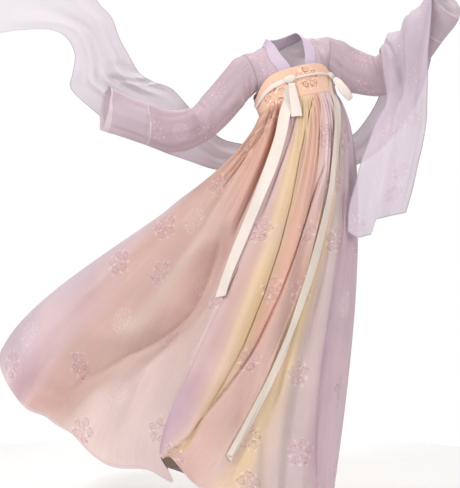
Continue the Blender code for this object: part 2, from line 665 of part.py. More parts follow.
def make_knot(word):
    """A soft rounded knot on the tie, with a waist where the tape crosses."""
    turn = math.radians(KNOT_TURNS[word])
    up = tie_top(turn) - TIE_WIDTH / 2
    along = unit(chest_ring(turn + 0.05, up, 0.0) - chest_ring(turn - 0.05, up, 0.0))
    outward = band_normal(turn)
    centre = chest_ring(turn, up, 0.0) + outward * (TAPE + KNOT_HALF[1])
    rings, sides = KNOT_RINGS, KNOT_SIDES
    points = [centre - along * KNOT_HALF[0]]
    for i in range(1, rings):
        polar = math.pi * i / rings
        waist = 1.0 - KNOT_WAIST * math.sin(polar) ** 6
        for j in range(sides):
            around = 2 * math.pi * j / sides
            points.append(centre - along * KNOT_HALF[0] * math.cos(polar)
                          + outward * KNOT_HALF[1] * math.sin(polar) * waist * math.cos(around)
                          + UP * KNOT_HALF[2] * math.sin(polar) * waist * math.sin(around))
    points.append(centre + along * KNOT_HALF[0])
    faces = []
    for j in range(sides):
        k = (j + 1) % sides
        faces.append((0, 1 + k, 1 + j))
        for i in range(rings - 2):
            a = 1 + i * sides
            faces.append((a + j, a + k, a + sides + k, a + sides + j))
        last = 1 + (rings - 2) * sides
        faces.append((last + j, last + k, len(points) - 1))
    add_mesh(f"knot_{word}", points, faces, CREAM)


def make_ties():
    for word, route, rows in (("right", TAIL_RIGHT, 18), ("left", TAIL_LEFT, 26)):
        make_knot(word)
        wall(f"tail_{word}", tail_grid(route, rows), TAPE, CREAM)
    wall("loop_left", tape_grid(LOOP, LOOP_SIDE), TAPE, CREAM)
    wall("short_end", tape_grid(SHORT_END, SHORT_END_SIDE), TAPE, CREAM)


def main():
    remove_everything()
    make_band()
    make_skirt()
    make_jacket()
    make_sleeves()
    make_shawl()
    make_ties()


main()
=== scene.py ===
import math

import bpy
import numpy as np
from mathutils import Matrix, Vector


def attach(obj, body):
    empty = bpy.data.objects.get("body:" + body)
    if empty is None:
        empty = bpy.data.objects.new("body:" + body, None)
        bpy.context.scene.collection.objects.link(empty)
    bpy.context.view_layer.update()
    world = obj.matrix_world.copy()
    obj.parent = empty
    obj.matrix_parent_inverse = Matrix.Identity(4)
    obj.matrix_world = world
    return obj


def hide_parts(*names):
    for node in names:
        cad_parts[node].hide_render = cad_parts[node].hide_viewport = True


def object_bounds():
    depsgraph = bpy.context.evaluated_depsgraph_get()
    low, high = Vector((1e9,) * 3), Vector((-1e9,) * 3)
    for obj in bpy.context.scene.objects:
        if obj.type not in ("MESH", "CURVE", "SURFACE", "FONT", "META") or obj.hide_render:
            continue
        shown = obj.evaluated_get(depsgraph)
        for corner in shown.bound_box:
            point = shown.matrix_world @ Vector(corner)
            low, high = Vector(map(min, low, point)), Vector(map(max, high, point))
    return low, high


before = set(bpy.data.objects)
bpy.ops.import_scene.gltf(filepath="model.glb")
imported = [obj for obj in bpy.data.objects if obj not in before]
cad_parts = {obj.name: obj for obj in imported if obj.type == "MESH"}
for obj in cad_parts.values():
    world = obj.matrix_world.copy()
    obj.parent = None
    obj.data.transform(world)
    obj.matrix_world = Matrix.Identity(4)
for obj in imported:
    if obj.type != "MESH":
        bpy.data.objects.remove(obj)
cad_low, cad_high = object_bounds()


# The chest band: a lined strip of peach cloth, 10 cm high, that goes round the chest and
# carries the skirt. It is cut straight, stretched flat over the chest and woven with round
# flowers. With the jacket it leans, tilts back and turns as one.
CM = 0.01
MM = 0.001
LEAN, TILT, TURN = math.radians(17.0), math.radians(9.0), math.radians(17.0)
CHEST_SHIFT = -0.018     # the band lies to the right of the neck's opening
CHEST_ACROSS = 0.132
CHEST_FRONT = 0.105
BAND_TOP = -0.098
BAND_BOTTOM = -0.195
BAND_DIP = 0.046         # its top edge runs lower under the armholes
BAND_ROWS = 40
BAND_COLUMNS = 360
BAND_PULLS = ((0.0006, 9.0, 5.0), (0.0003, 23.0, -3.0))     # depth, waves round, lean of the waves
BAND_THICKNESS = 0.0022


def unit(vectors):
    vectors = np.asarray(vectors, dtype=float)
    return vectors / np.maximum(np.linalg.norm(vectors, axis=-1, keepdims=True), 1e-12)


def body_directions():
    up = unit([-math.sin(LEAN), math.sin(TILT) * math.cos(LEAN), math.cos(LEAN) * math.cos(TILT)])
    level = unit(np.cross([0.0, 1.0, 0.0], up))
    ahead = np.cross(level, up)
    across = level * math.cos(TURN) - ahead * math.sin(TURN)
    front = ahead * math.cos(TURN) + level * math.sin(TURN)
    return across, front, up


ACROSS, FRONT, UP = body_directions()


def body_point(across, front, up):
    """A place given across the leaning jacket, in front of it and up along it."""
    across = np.asarray(across, dtype=float)[..., None]
    front = np.asarray(front, dtype=float)[..., None]
    up = np.asarray(up, dtype=float)[..., None]
    return across * ACROSS + front * FRONT + up * UP


def band_top(turn):
    return BAND_TOP - BAND_DIP * np.cos(turn) ** 6


def chest_ring(turn, up, out):
    across = CHEST_SHIFT + (CHEST_ACROSS + out) * np.cos(turn)
    front = (CHEST_FRONT + out) * np.sin(turn)
    return body_point(across, front, up)


def facing_out(grid, closed=False):
    """The direction across the cloth at each point of a grid."""
    down = np.gradient(grid, axis=0)
    along = np.roll(grid, -1, axis=1) - np.roll(grid, 1, axis=1) if closed else np.gradient(grid, axis=1)
    return unit(np.cross(along, down))


def cloth_lengths(grid):
    """How far each point lies along its row and down its column, in metres of cloth."""
    along, down = np.zeros(grid.shape[:2]), np.zeros(grid.shape[:2])
    along[:, 1:] = np.cumsum(np.linalg.norm(np.diff(grid, axis=1), axis=2), axis=1)
    down[1:] = np.cumsum(np.linalg.norm(np.diff(grid, axis=0), axis=2), axis=0)
    return along, down


def corners_of(values):
    """The values at the four corners of each face of a grid."""
    return np.stack([values[:-1, :-1], values[:-1, 1:], values[1:, 1:], values[1:, :-1]], axis=2)


FLOWER_REACH = 1.5       # in radii of a flower, how far from its middle the cloth still belongs to it
NO_FLOWER = 5.0          # the place given to cloth that belongs to none
PALE_STEP = 10.0         # the places of a pale flower are moved by this much, to tell it from others


def flower_places(along, down, flowers, radius):
    """Where each face lies from the middle of its nearest flower, in radii of the flower.

    A flower is its share of the way down, its share of the way across, and its kind:
    0 for a coloured one and 1 for a pale dotted one.
    """
    rows, columns = along.shape
    nearest = np.full((rows - 1, columns - 1), FLOWER_REACH)
    places = np.full((rows - 1, columns - 1, 4, 2), NO_FLOWER)
    for row_share, column_share, kind in flowers:
        row = np.clip(row_share, 0.0, 0.9999) * (rows - 1)
        column = np.clip(column_share, 0.0, 0.9999) * (columns - 1)
        i, j = int(row), int(column)
        middle_along = along[:, j] + (along[:, j + 1] - along[:, j]) * (column - j)
        middle_down = down[i] + (down[i + 1] - down[i]) * (row - i)
        x = (along - middle_along[:, None]) / radius
        y = (down - middle_down[None, :]) / radius
        away = corners_of(np.hypot(x, y)).mean(axis=2)
        here = away < nearest
        corners = np.stack([corners_of(x), corners_of(y)], axis=-1)
        corners[..., 0] += PALE_STEP * kind
        places[here] = corners[here]
        nearest = np.minimum(nearest, away)
    return places


def hem_distances(along, down, hems):
    """How far each point lies from a side hem and an end hem, or a metre where there is none."""
    sides, ends = np.ones_like(along), np.ones_like(along)
    if "sides" in hems:
        sides = np.minimum(along, along[:, -1:] - along)
    if "top" in hems:
        ends = np.minimum(ends, down)
    if "bottom" in hems:
        ends = np.minimum(ends, down[-1:] - down)
    return np.stack([corners_of(sides), corners_of(ends)], axis=-1)


def cloth_area(grid):
    crossed = np.cross(grid[1:, 1:] - grid[:-1, :-1], grid[1:, :-1] - grid[:-1, 1:])
    return float(np.linalg.norm(crossed, axis=2).sum() / 2)


def cloth_piece(name, grid, material, node, closed=False, flowers=None, dyes=None, hems="",
                normals=None, thickness=0.0, tape_width=None):
    """A piece of cloth through a grid of points, which stands for the solid named in node.

    Its places in the weave and its flat size are lengths along the cloth. hems names its free
    edges. tape_width is given for a knot, whose cloth is a tape wound into a lump.
    """
    wrapped = np.concatenate([grid, grid[:, :1]], axis=1) if closed else grid
    rows, columns = grid.shape[:2]
    index = np.arange(rows * columns).reshape(rows, columns)
    index = np.concatenate([index, index[:, :1]], axis=1) if closed else index
    mesh = bpy.data.meshes.new(name)
    mesh.from_pydata(grid.reshape(-1, 3).tolist(), [], corners_of(index).reshape(-1, 4).tolist())
    along, down = cloth_lengths(wrapped)
    layers = {"cloth": np.stack([corners_of(along), corners_of(down)], axis=-1)}
    layers["hem"] = hem_distances(along, down, hems)
    if flowers is not None:
        layers["flower"] = flowers
    if dyes is not None:
        layers["dye"] = np.stack([corners_of(dyes[..., 0]), corners_of(dyes[..., 1])], axis=-1)
    for layer, values in layers.items():
        mesh.uv_layers.new(name=layer).data.foreach_set("uv", values.astype(np.float32).ravel())
    mesh.shade_smooth()
    if normals is not None:
        mesh.normals_split_custom_set_from_vertices(normals.reshape(-1, 3).tolist())
    mesh.materials.append(material)
    piece = bpy.data.objects.new(name, mesh)
    bpy.context.scene.collection.objects.link(piece)
    if thickness:
        solid = piece.modifiers.new("thickness", "SOLIDIFY")
        solid.thickness = thickness
        solid.offset = -1.0
    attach(piece, "root")
    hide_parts(node)
    width, length, area = float(along[:, -1].max()), float(down[-1].mean()), cloth_area(wrapped)
    if tape_width:
        width, length = tape_width, area / 2 / tape_width


ROOM_LIGHT = 0.885       # the share of its full colour that a cloth keeps under the studio light


def dye(red, green, blue):
    """A colour as it looks in the studio, from 0 to 255, in the renderer's own values."""
    return tuple(((c / 255 + 0.055) / 1.055) ** 2.4 * ROOM_LIGHT for c in (red, green, blue)) + (1.0,)


class Amount:
    """A number that the nodes of a material work out, with which plain sums can be written."""

    def __init__(self, weave, socket):
        self.weave, self.socket = weave, socket

    def __add__(self, other):
        return self.weave.calc("ADD", self, other)

    def __sub__(self, other):
        return self.weave.calc("SUBTRACT", self, other)

    def __mul__(self, other):
        return self.weave.calc("MULTIPLY", self, other)


class Weave:
    """The nodes of one cloth material, joined up one step at a time."""

    def __init__(self, tree):
        self.tree = tree

    def node(self, kind, **settings):
        made = self.tree.nodes.new("ShaderNode" + kind)
        for key, value in settings.items():
            setattr(made, key, value)
        return made

    def feed(self, socket, value):
        """Joins a node's output to the socket, or sets the socket's own value."""
        value = value.socket if isinstance(value, Amount) else value
        if isinstance(value, bpy.types.NodeSocket):
            self.tree.links.new(value, socket)
        else:
            socket.default_value = value

    def fed(self, made, *values):
        """A node's first output, once its inputs are fed in their own order."""
        for socket, value in zip(made.inputs, values):
            self.feed(socket, value)
        return Amount(self, made.outputs[0])

    def calc(self, operation, *values):
        return self.fed(self.node("Math", operation=operation), *values)

    def band(self, value, low, high, to_low=0.0, to_high=1.0):
        """The value turned smoothly from one range into another."""
        made = self.node("MapRange", interpolation_type="SMOOTHSTEP")
        return self.fed(made, value, low, high, to_low, to_high)

    def within(self, share, inside, outside):
        """One amount where the share is 1 and the other where it is 0."""
        return self.calc("SUBTRACT", 1.0, share) * outside + share * inside

    def mix(self, share, first, second):
        made = self.node("Mix", data_type="RGBA")
        self.feed(made.inputs[0], share)
        self.feed(made.inputs[6], first)
        self.feed(made.inputs[7], second)
        return made.outputs[2]

    def place(self, layer):
        return self.node("UVMap", uv_map=layer).outputs[0]

    def split(self, vector):
        made = self.node("SeparateXYZ")
        self.feed(made.inputs[0], vector)
        return Amount(self, made.outputs[0]), Amount(self, made.outputs[1])

    def noise(self, vector, scale, stretch=(1.0, 1.0, 1.0), detail=2.0):
        moved = self.node("Mapping")
        self.feed(moved.inputs[0], vector)
        moved.inputs["Scale"].default_value = stretch
        made = self.node("TexNoise")
        self.feed(made.inputs["Vector"], moved.outputs[0])
        made.inputs["Scale"].default_value = scale
        made.inputs["Detail"].default_value = detail
        return Amount(self, made.outputs[0])


PETALS = 5
WOBBLE = 0.10            # in radii of the flower, how far the steps of the weave move its drawing


def round_flower():
    """A round woven flower: five curled petals on a ring, a small middle, and pale dots round the petals
    that are partly stamen thread and partly painted highlight on the raised pattern.

    It gives how much coloured line, how much pale dot and how much ground lies at a point.
    Its sizes are in radii of the flower.
    """
    group = bpy.data.node_groups.new("round_flower", "ShaderNodeTree")
    for word in ("line", "dots", "ground"):
        group.interface.new_socket(word, in_out="OUTPUT", socket_type="NodeSocketFloat")
    w = Weave(group)
    cloth = w.place("cloth")
    x, y = w.split(w.place("flower"))
    pale = w.calc("GREATER_THAN", x, PALE_STEP * 0.7)
    coloured = w.calc("SUBTRACT", 1.0, pale)
    x = x - pale * PALE_STEP + w.band(w.noise(cloth, 75.0), 0.25, 0.75, -WOBBLE, WOBBLE)
    y = y + w.band(w.noise(cloth, 60.0), 0.25, 0.75, -WOBBLE, WOBBLE)
    reach = w.calc("SQRT", x * x + y * y)
    angle = w.calc("ARCTAN2", x, y * -1.0)
    sector = 2 * math.pi / PETALS

    def away_from(turned, out):
        """How far a point is from the nearest of five spots set round the middle."""
        folded = w.calc("WRAP", angle + turned, sector / 2, -sector / 2)
        px = reach * w.calc("COSINE", folded) - out
        py = reach * w.calc("SINE", folded)
        return w.calc("SQRT", px * px + py * py)

    def line_at(value, middle, half):
        return w.band(w.calc("ABSOLUTE", value - middle), half, half * 0.35)

    petal = away_from(0.0, 0.58)
    line = w.calc("MAXIMUM", line_at(petal, 0.22, 0.055), w.band(petal, 0.11, 0.05) * 0.7)
    line = w.calc("MAXIMUM", line, line_at(reach, 0.20, 0.05) * 0.7)
    line = line * w.band(w.noise(cloth, 38.0), 0.34, 0.60, 0.35, 1.0)
    # Pale dots between and just outside the petals: partly stamen thread, partly painted highlight where the
    # raised pattern catches the light.
    stamens_and_glints = w.calc("MAXIMUM", w.band(away_from(sector / 2, 0.80), 0.11, 0.04),
                     w.band(away_from(sector / 2, 0.40), 0.09, 0.03))
    stamens_and_glints = w.calc("MAXIMUM", stamens_and_glints, w.band(away_from(0.0, 0.97), 0.12, 0.04) * 0.6)
    spots = w.calc("SINE", angle * 16.0) * w.calc("SINE", reach * 25.0)
    pale_dots = w.band(spots, 0.12, 0.6) * w.band(reach, 1.0, 0.85)
    out = group.nodes.new("NodeGroupOutput")
    w.feed(out.inputs["line"], line * coloured)
    w.feed(out.inputs["dots"], stamens_and_glints * coloured + pale_dots * pale)
    w.feed(out.inputs["ground"], w.band(reach, 0.95, 0.6) * coloured)
    return group


ROUND_FLOWER = round_flower()
THREAD = 0.0006          # from one thread to the next
THREAD_HEIGHT = 0.00008
BLOOM = dye(230, 204, 198)      # where a striped cloth is paler, in large soft patches
STITCHES = dye(150, 120, 130)


def stripe_colour(w, stripe_dyes_and_shade):
    """Stripes edge to edge: their colours at three levels down the cloth, dyes with painted fold shade in
    some, and a paler bloom.
    """
    stripe, depth = w.split(w.place("dye"))
    levels = []
    for level in range(3):
        ramp = w.node("ValToRGB")
        ramp.color_ramp.interpolation = "EASE"
        while len(ramp.color_ramp.elements) < len(stripe_dyes_and_shade):
            ramp.color_ramp.elements.new(1.0)
        for n, (stop, row) in enumerate(zip(ramp.color_ramp.elements, stripe_dyes_and_shade)):
            stop.position = (n + 0.5) / len(stripe_dyes_and_shade)
            stop.color = row[level]
        w.feed(ramp.inputs[0], stripe)
        levels.append(ramp.outputs[0])
    colour = w.mix(w.band(depth, 0.10, 0.45), levels[0], levels[1])
    colour = w.mix(w.band(depth, 0.45, 0.85), colour, levels[2])
    bloom = w.band(w.noise(w.place("cloth"), 3.2, detail=3.0), 0.46, 0.70, 0.0, 0.32)
    return w.mix(bloom, colour, BLOOM)


def hemmed(w, colour, alpha, width, hem_colour, hem_opacity):
    """The colour and opacity of a cloth that is turned in and stitched at its free edges."""
    from_edge = w.calc("MINIMUM", *w.split(w.place("hem")))
    turned_in = w.band(from_edge, width * 1.15, width * 0.85)
    colour = w.mix(turned_in * 0.8, colour, hem_colour)
    stitch = w.band(w.calc("ABSOLUTE", from_edge - width), 0.0007, 0.0002)
    return w.mix(stitch * 0.35, colour, STITCHES), w.within(turned_in, hem_opacity, alpha)


def woven_cloth(name, ground, opacity=1.0, flower=None, pale_dots=None, tint=None, strength=1.0,
                sheen=0.25, rough=0.75, wrinkle=0.0, stripe_dyes_and_shade=None, fade=None, trims=(), hem=None):
    """Thin plain weave: fine threads, a few thicker ones, and flowers if it has them.

    The stripe dyes and shade give each stripe's colours from the top to the hem: dyes, with
    painted fold shade in some of them. fade is a length down the cloth and the opacity there,
    twice. A trim is a stripe of its own colour and opacity between two lengths down the cloth.
    A hem is its width, its colour and its opacity.
    """
    material = bpy.data.materials.new(name)
    material.use_nodes = True
    shader = material.node_tree.nodes["Principled BSDF"]
    w = Weave(material.node_tree)
    cloth = w.place("cloth")
    along, down = w.split(cloth)
    slubs = w.noise(cloth, 1.0, stretch=(45.0, 900.0, 1.0))
    patches = w.noise(cloth, 5.0, detail=3.0)
    tone = w.band(patches, 0.3, 0.7, -0.045, 0.045) + w.band(slubs, 0.3, 0.7, -0.02, 0.02)
    if stripe_dyes_and_shade:
        streaks = w.noise(w.place("dye"), 1.0, stretch=(420.0, 2.5, 1.0))
        tone = tone + w.band(streaks, 0.3, 0.7, -0.02, 0.02)
    shade = w.node("HueSaturation")
    w.feed(shade.inputs["Color"], stripe_colour(w, stripe_dyes_and_shade) if stripe_dyes_and_shade else ground)
    w.feed(shade.inputs["Value"], tone + 1.0)
    colour = shade.outputs[0]
    alpha = w.band(down, fade[0], fade[2], fade[1], fade[3]) if fade else opacity
    if flower:
        woven = w.node("Group", node_tree=ROUND_FLOWER)
        line, dots, covered = (Amount(w, woven.outputs[word]) for word in ("line", "dots", "ground"))
        colour = w.mix(covered * (0.22 * strength), colour, tint)
        colour = w.mix(line * strength, colour, flower)
        # the pale dots, partly painted highlight on the raised flowers
        colour = w.mix(dots * (0.8 * strength), colour, pale_dots)
        if opacity < 1.0:
            alpha = w.calc("MINIMUM", w.calc("MAXIMUM", line, dots) * 0.25 + alpha, 1.0)
    for start, end, trim_colour, trim_opacity in trims:
        inside = w.calc("GREATER_THAN", down, start) * w.calc("LESS_THAN", down, end)
        colour = w.mix(inside, colour, trim_colour)
        alpha = w.within(inside, trim_opacity, alpha)
    if hem:
        colour, alpha = hemmed(w, colour, alpha, *hem)
    w.feed(shader.inputs["Base Color"], colour)
    w.feed(shader.inputs["Alpha"], alpha)
    turns = 2 * math.pi / THREAD
    height = w.calc("SINE", along * turns) * w.calc("SINE", down * turns) * THREAD_HEIGHT
    if wrinkle:
        height = height + w.noise(cloth, 9.0, stretch=(1.0, 0.6, 1.0), detail=4.0) * wrinkle
    bump = w.node("Bump")
    bump.inputs["Distance"].default_value = 1.0
    bump.inputs["Strength"].default_value = 1.0
    w.feed(bump.inputs["Height"], height)
    w.feed(shader.inputs["Normal"], bump.outputs[0])
    w.feed(shader.inputs["Roughness"], w.band(slubs, 0.3, 0.7, rough - 0.06, rough + 0.06))
    shader.inputs["Sheen Weight"].default_value = sheen
    shader.inputs["Sheen Roughness"].default_value = 0.4
    return material


BAND_FLOWER_RADIUS = 0.044
BAND_FLOWERS = [
    # way down, way round, kind
    (0.44, 0.229, 0), (0.72, 0.378, 0), (0.44, 0.53, 0), (0.5, 0.68, 0), (0.5, 0.83, 0), (0.72, 0.07, 0),
]
PEACH_BAND = woven_cloth(
    "peach_band_cloth", dye(249, 204, 178), flower=dye(168, 104, 84), pale_dots=dye(255, 244, 232),
    tint=dye(246, 200, 178), strength=0.8, sheen=0.3, rough=0.7, wrinkle=0.0008)


def make_band():
    turns = np.linspace(0.0, 2 * math.pi, BAND_COLUMNS, endpoint=False)
    share = np.linspace(0.0, 1.0, BAND_ROWS)[:, None]
    top = band_top(turns)
    grid = chest_ring(turns + 0 * share, top + (BAND_BOTTOM - top) * share, 0.0)
    pull = sum(depth * np.sin(turns * waves + lean * share) for depth, waves, lean in BAND_PULLS)
    grid = grid + facing_out(grid, True) * (pull * np.sin(math.pi * share))[..., None]
    wrapped = np.concatenate([grid, grid[:, :1]], axis=1)
    flowers = flower_places(*cloth_lengths(wrapped), BAND_FLOWERS, BAND_FLOWER_RADIUS)
    cloth_piece("chest_band_cloth", grid, PEACH_BAND, "chest_band", closed=True,
                flowers=flowers, thickness=BAND_THICKNESS)


make_band()


# The skirt: eight wide panels of thin silk in soft stripes of dye, with painted shade in some
# stripes deep in the folds, sewn edge to edge and pleated into the chest band. The wind
# carries its right side out into a wide wing with a deep valley in front of it. The hem is a
# narrow rolled one.
SEAM = 0.0003
PANELS = 8
PANEL_COLUMNS = 120
SKIRT_ROWS = 144
PLEATS = 26
FINE_PLEATS = 84
PLEAT_AT_BAND = 0.002
PLEAT_AT_HEM = 0.016
PLEAT_GROWTH = 0.8       # power by which the pleats deepen on the way down
PLEATS_BEGIN = 0.083     # share of the way down over which they come out of the band
SKIRT_START = 0.26       # how strongly the cloth leaves the band
SKIRT_OUT = 3.0          # shares of outward, downward and onward in the way it leaves
SKIRT_DOWN = 0.9
SKIRT_ON = 0.5
DOWN_STEP = 0.004        # share of the way down over which the skirt's slope is read
NEAR_HEM = 0.99          # a crease that reaches this far down runs on through the hem
PLEAT_SWAY = [
    # how far the main pleats wander, times round the skirt, start, lean on the way down
    (0.55, 3, 0.7, 0.0),
    (0.40, 7, 2.1, 0.0),
]
FINE_SWAY = [(1.6, 4, 0.3, 0.0), (0.9, 9, 0.0, 5.0)]
FINE_DEPTH = 0.0022      # of the fine pleats below the band, and what is left of them at the hem
FINE_LEFT = 0.0003
WING_SWEEP = 24.0        # degrees by which the fine pleats are swept along the wing
SKIRT_FOLDS = [
    # turn, mid x, mid y, mid z, hem x, hem y, hem z, pleat
    (0, 22.5, 2, -77.5, 15.0, 3, -146, 0.8),
    (20, 20.5, -9, -78.0, 13.5, -10, -145, 0.8),
    (45, 14.5, -19, -78.5, 8.0, -27, -142.5, 0.8),
    (70, 5.0, -24, -78.5, -2.0, -36, -140.5, 0.9),
    (90, -4.5, -27, -78.0, -13.5, -42, -137.5, 0.9),
    (104, -13.5, -27, -78.0, -27.0, -43, -132.5, 0.8),
    (113, -19.0, -25, -77.0, -37.5, -40, -124.0, 0.3),
    (120, -22.5, -22, -78.0, -34.5, -31, -133.0, 0.2),
    (127, -26.0, -19, -79.0, -42.5, -25, -130.5, 0.3),
    (138, -32.0, -15, -79.0, -55.5, -20, -130.0, 0.5),
    (148, -38.0, -12, -77.0, -68.0, -15, -122.0, 0.4),
    (157, -42.0, -8, -73.5, -75.0, -9, -117.0, 0.4),
    (165, -45.5, -3, -68.5, -83.0, -1, -115.0, 0.2),
    (173, -48.0, -2, -64.0, -88.5, -3, -107.0, 0.3),
    (182, -50.0, 5, -60.0, -92.5, 8, -99.5, 0.3),
    (196, -46.5, 12, -61.5, -87.5, 19, -106.5, 0.5),
    (215, -36.0, 19, -67.5, -67.5, 32, -125.5, 0.8),
    (240, -20.5, 23, -73.0, -42.0, 38, -140.0, 1.0),
    (270, -2.5, 23, -76.5, -16.0, 37, -147.5, 1.0),
    (300, 12.0, 18, -78.0, 4.0, 29, -149.5, 1.0),
    (330, 20.5, 10, -78.0, 12.5, 16, -148.5, 1.0),
]
CREASES = [
    # depth in mm, up for a ridge; widths in degrees on its two sides; how far it leans over in
    # mm; then turn, down along it
    (13, 6.0, 1.3, 9, 83, 0.02, 88, 0.06, 92, 0.13, 94, 0.20, 92.5, 0.30, 92, 0.40,
     93, 0.50, 95, 0.60, 99, 0.70, 104, 0.80),
    (15, 5.0, 1.2, 10, 70, 0.22, 76, 0.31, 79, 0.37, 84, 0.50, 89, 0.60,
     96, 0.70, 102, 0.78, 106, 0.88, 110, 1.0),
    (-58, 8.0, 5.5, 0, 137, 0.33, 136, 0.42, 132.5, 0.48, 132, 0.52,
     137, 0.58, 146.5, 0.66, 155, 0.78, 160, 0.94),
    (14, 5.0, 8.0, 0, 148, 0.35, 146, 0.45, 145, 0.52, 148, 0.58, 158, 0.68, 166, 0.80, 170, 0.92),
    (20, 6.0, 4.0, 0, 129, 0.40, 130, 0.50, 133, 0.62, 139, 0.72, 143, 0.85, 146, 1.0),
    (15, 2.0, 8.0, -5, 139, 0.01, 137, 0.06, 135.5, 0.115, 134.2, 0.20, 133, 0.28, 132, 0.38),
    (9, 1.3, 6.0, -8, 46, 0.30, 49, 0.42, 52, 0.52, 53, 0.62, 51, 0.72, 47, 0.86, 44, 1.0),
    (-9, 5.0, 4.0, 0, 44, 0.40, 38, 0.60, 33, 0.80, 31, 1.0),
    (8, 2.0, 2.5, 4, 76, 0.03, 77, 0.12, 76, 0.20, 75, 0.27),
    (-8, 1.5, 2.5, 0, 106, 0.03, 110, 0.12, 112, 0.22, 112, 0.36),
    (7, 2.5, 1.2, 4, 116, 0.03, 117, 0.20, 114, 0.45, 112, 0.70, 111, 0.95),
    (-9, 2.2, 1.5, 0, 138, 0.01, 146, 0.05, 156, 0.09, 164, 0.17, 166, 0.30),
    (8, 2.2, 1.5, 4, 133, 0.02, 138, 0.06, 145, 0.12, 149, 0.22, 150, 0.36),
    (-8, 2.0, 1.5, 0, 146, 0.01, 156, 0.04, 168, 0.08, 175, 0.15, 177, 0.24),
    (7, 2.0, 1.3, 4, 150, 0.01, 163, 0.05, 172, 0.10, 178, 0.18),
    (-6, 1.6, 1.6, 0, 134, 0.01, 139, 0.04, 150, 0.09, 158, 0.15, 160, 0.26),
    (8, 2.5, 1.3, 5, 62, 0.03, 66, 0.15, 68, 0.30, 73, 0.45, 80, 0.60, 92, 0.80, 104, 1.0),
    (-7, 2.0, 3.0, 0, 60, 0.45, 62, 0.62, 64, 0.80, 70, 1.0),
    (8, 5.0, 5.0, 0, 146, 0.72, 148, 0.85, 149, 1.0),
    (7, 7.0, 7.0, 0, 173, 0.30, 174, 0.60, 178, 1.0),
    (-6, 3.0, 2.0, 0, 33, 0.02, 34, 0.15, 32, 0.35),
    (-8, 4.0, 3.0, 0, 18, 0.10, 16, 0.50, 14, 1.0),
    (-6, 5.0, 7.0, 0, 182, 0.34, 184, 0.60, 187, 1.0),
    (8, 7.0, 5.0, 0, 194, 0.26, 195, 0.60, 196, 1.0),
    (-14, 5.0, 5.0, 0, 200, 0.08, 202, 0.50, 203, 1.0),
    (12, 6.0, 5.0, 0, 223, 0.12, 220, 0.50, 219, 1.0),
    (-14, 4.0, 6.0, 0, 246, 0.08, 249, 0.50, 251, 1.0),
    (12, 5.0, 1.4, 8, 264, 0.12, 268, 0.45, 273, 1.0),
    (12, 1.4, 5.0, -8, 286, 0.10, 283, 0.50, 280, 1.0),
    (-12, 5.0, 5.0, 0, 311, 0.08, 314, 0.50, 317, 1.0),
    (12, 5.0, 1.4, 8, 340, 0.12, 339, 0.50, 337, 1.0),
]
FOLD_LINES = [
    # the narrow lines where a pleat lies over the next: depth and half width in mm, then
    # turn, down along it
    (-7, 3.5, 83, 0.01, 89.5, 0.06, 93.5, 0.13, 95.3, 0.20, 93.8, 0.30,
     93.3, 0.40, 94.3, 0.50, 96.5, 0.60, 101, 0.71, 106, 0.82),
    (-8, 3.5, 71, 0.22, 78, 0.31, 81, 0.37, 86, 0.50, 91, 0.60,
     98, 0.70, 104, 0.78, 108, 0.88, 112, 1.0),
    (-14, 4.5, 135, 0.0, 132, 0.10, 130.2, 0.20, 129, 0.28, 128.4, 0.34, 127.5, 0.42),
    (-16, 3.5, 143, 0.0, 150, 0.04, 155, 0.08, 163, 0.14, 166, 0.26),
    (-16, 3.5, 140, 0.0, 144, 0.05, 150, 0.10, 158, 0.16, 161, 0.30),
    (-14, 4.0, 146, 0.0, 156, 0.035, 167, 0.07, 174, 0.13, 177, 0.24),
    (-6, 3.5, 141, 0.0, 150, 0.04, 160, 0.08, 169, 0.15, 172, 0.28),
    (-6, 3.5, 128, 0.0, 134, 0.03, 143, 0.09, 150, 0.16, 153, 0.32),
    (-5, 3.0, 151, 0.0, 163, 0.04, 172, 0.08, 180, 0.16),
    (-10, 5.0, 44, 0.28, 47, 0.42, 50, 0.52, 51, 0.62, 49, 0.72, 45, 0.86, 42, 1.0),
    (-4, 3.0, 105, 0.0, 107, 0.04, 110, 0.12, 112, 0.22, 112, 0.36),
    (-5, 3.0, 61, 0.0, 66, 0.15, 68, 0.30, 72, 0.44),
    (-5, 3.0, 35, 0.0, 38, 0.20, 36, 0.50),
    (-4, 3.0, 24, 0.0, 24, 0.30, 20, 0.60),
    (-4, 3.0, 118, 0.0, 119, 0.15, 118, 0.36),
    (-3, 3.0, 99, 0.0, 101, 0.10, 100, 0.26),
    (-5, 3.0, 75, 0.0, 79, 0.15, 78, 0.28),
    (-5, 3.0, 50, 0.0, 54, 0.14, 55, 0.34),
    (-6, 3.5, 112, 0.44, 112, 0.60, 112, 0.80),
    (-5, 4.0, 28, 0.55, 26, 0.80, 25, 1.0),
    (-7, 6.0, 139, 0.36, 137.5, 0.42, 134, 0.48, 133.5, 0.52,
     138.5, 0.58, 148, 0.66, 156.5, 0.78, 161, 0.92),
    (-7, 4.0, 262, 0.0, 267, 0.20, 271, 0.55),
    (-7, 4.0, 290, 0.0, 288, 0.20, 285, 0.60),
    (-6, 3.5, 205, 0.0, 207, 0.20, 208, 0.50),
    (-6, 3.5, 225, 0.0, 224, 0.25, 222, 0.60),
    (-6, 3.5, 318, 0.0, 319, 0.25, 320, 0.60),
    (-6, 3.5, 344, 0.0, 343, 0.25, 342, 0.60),
]


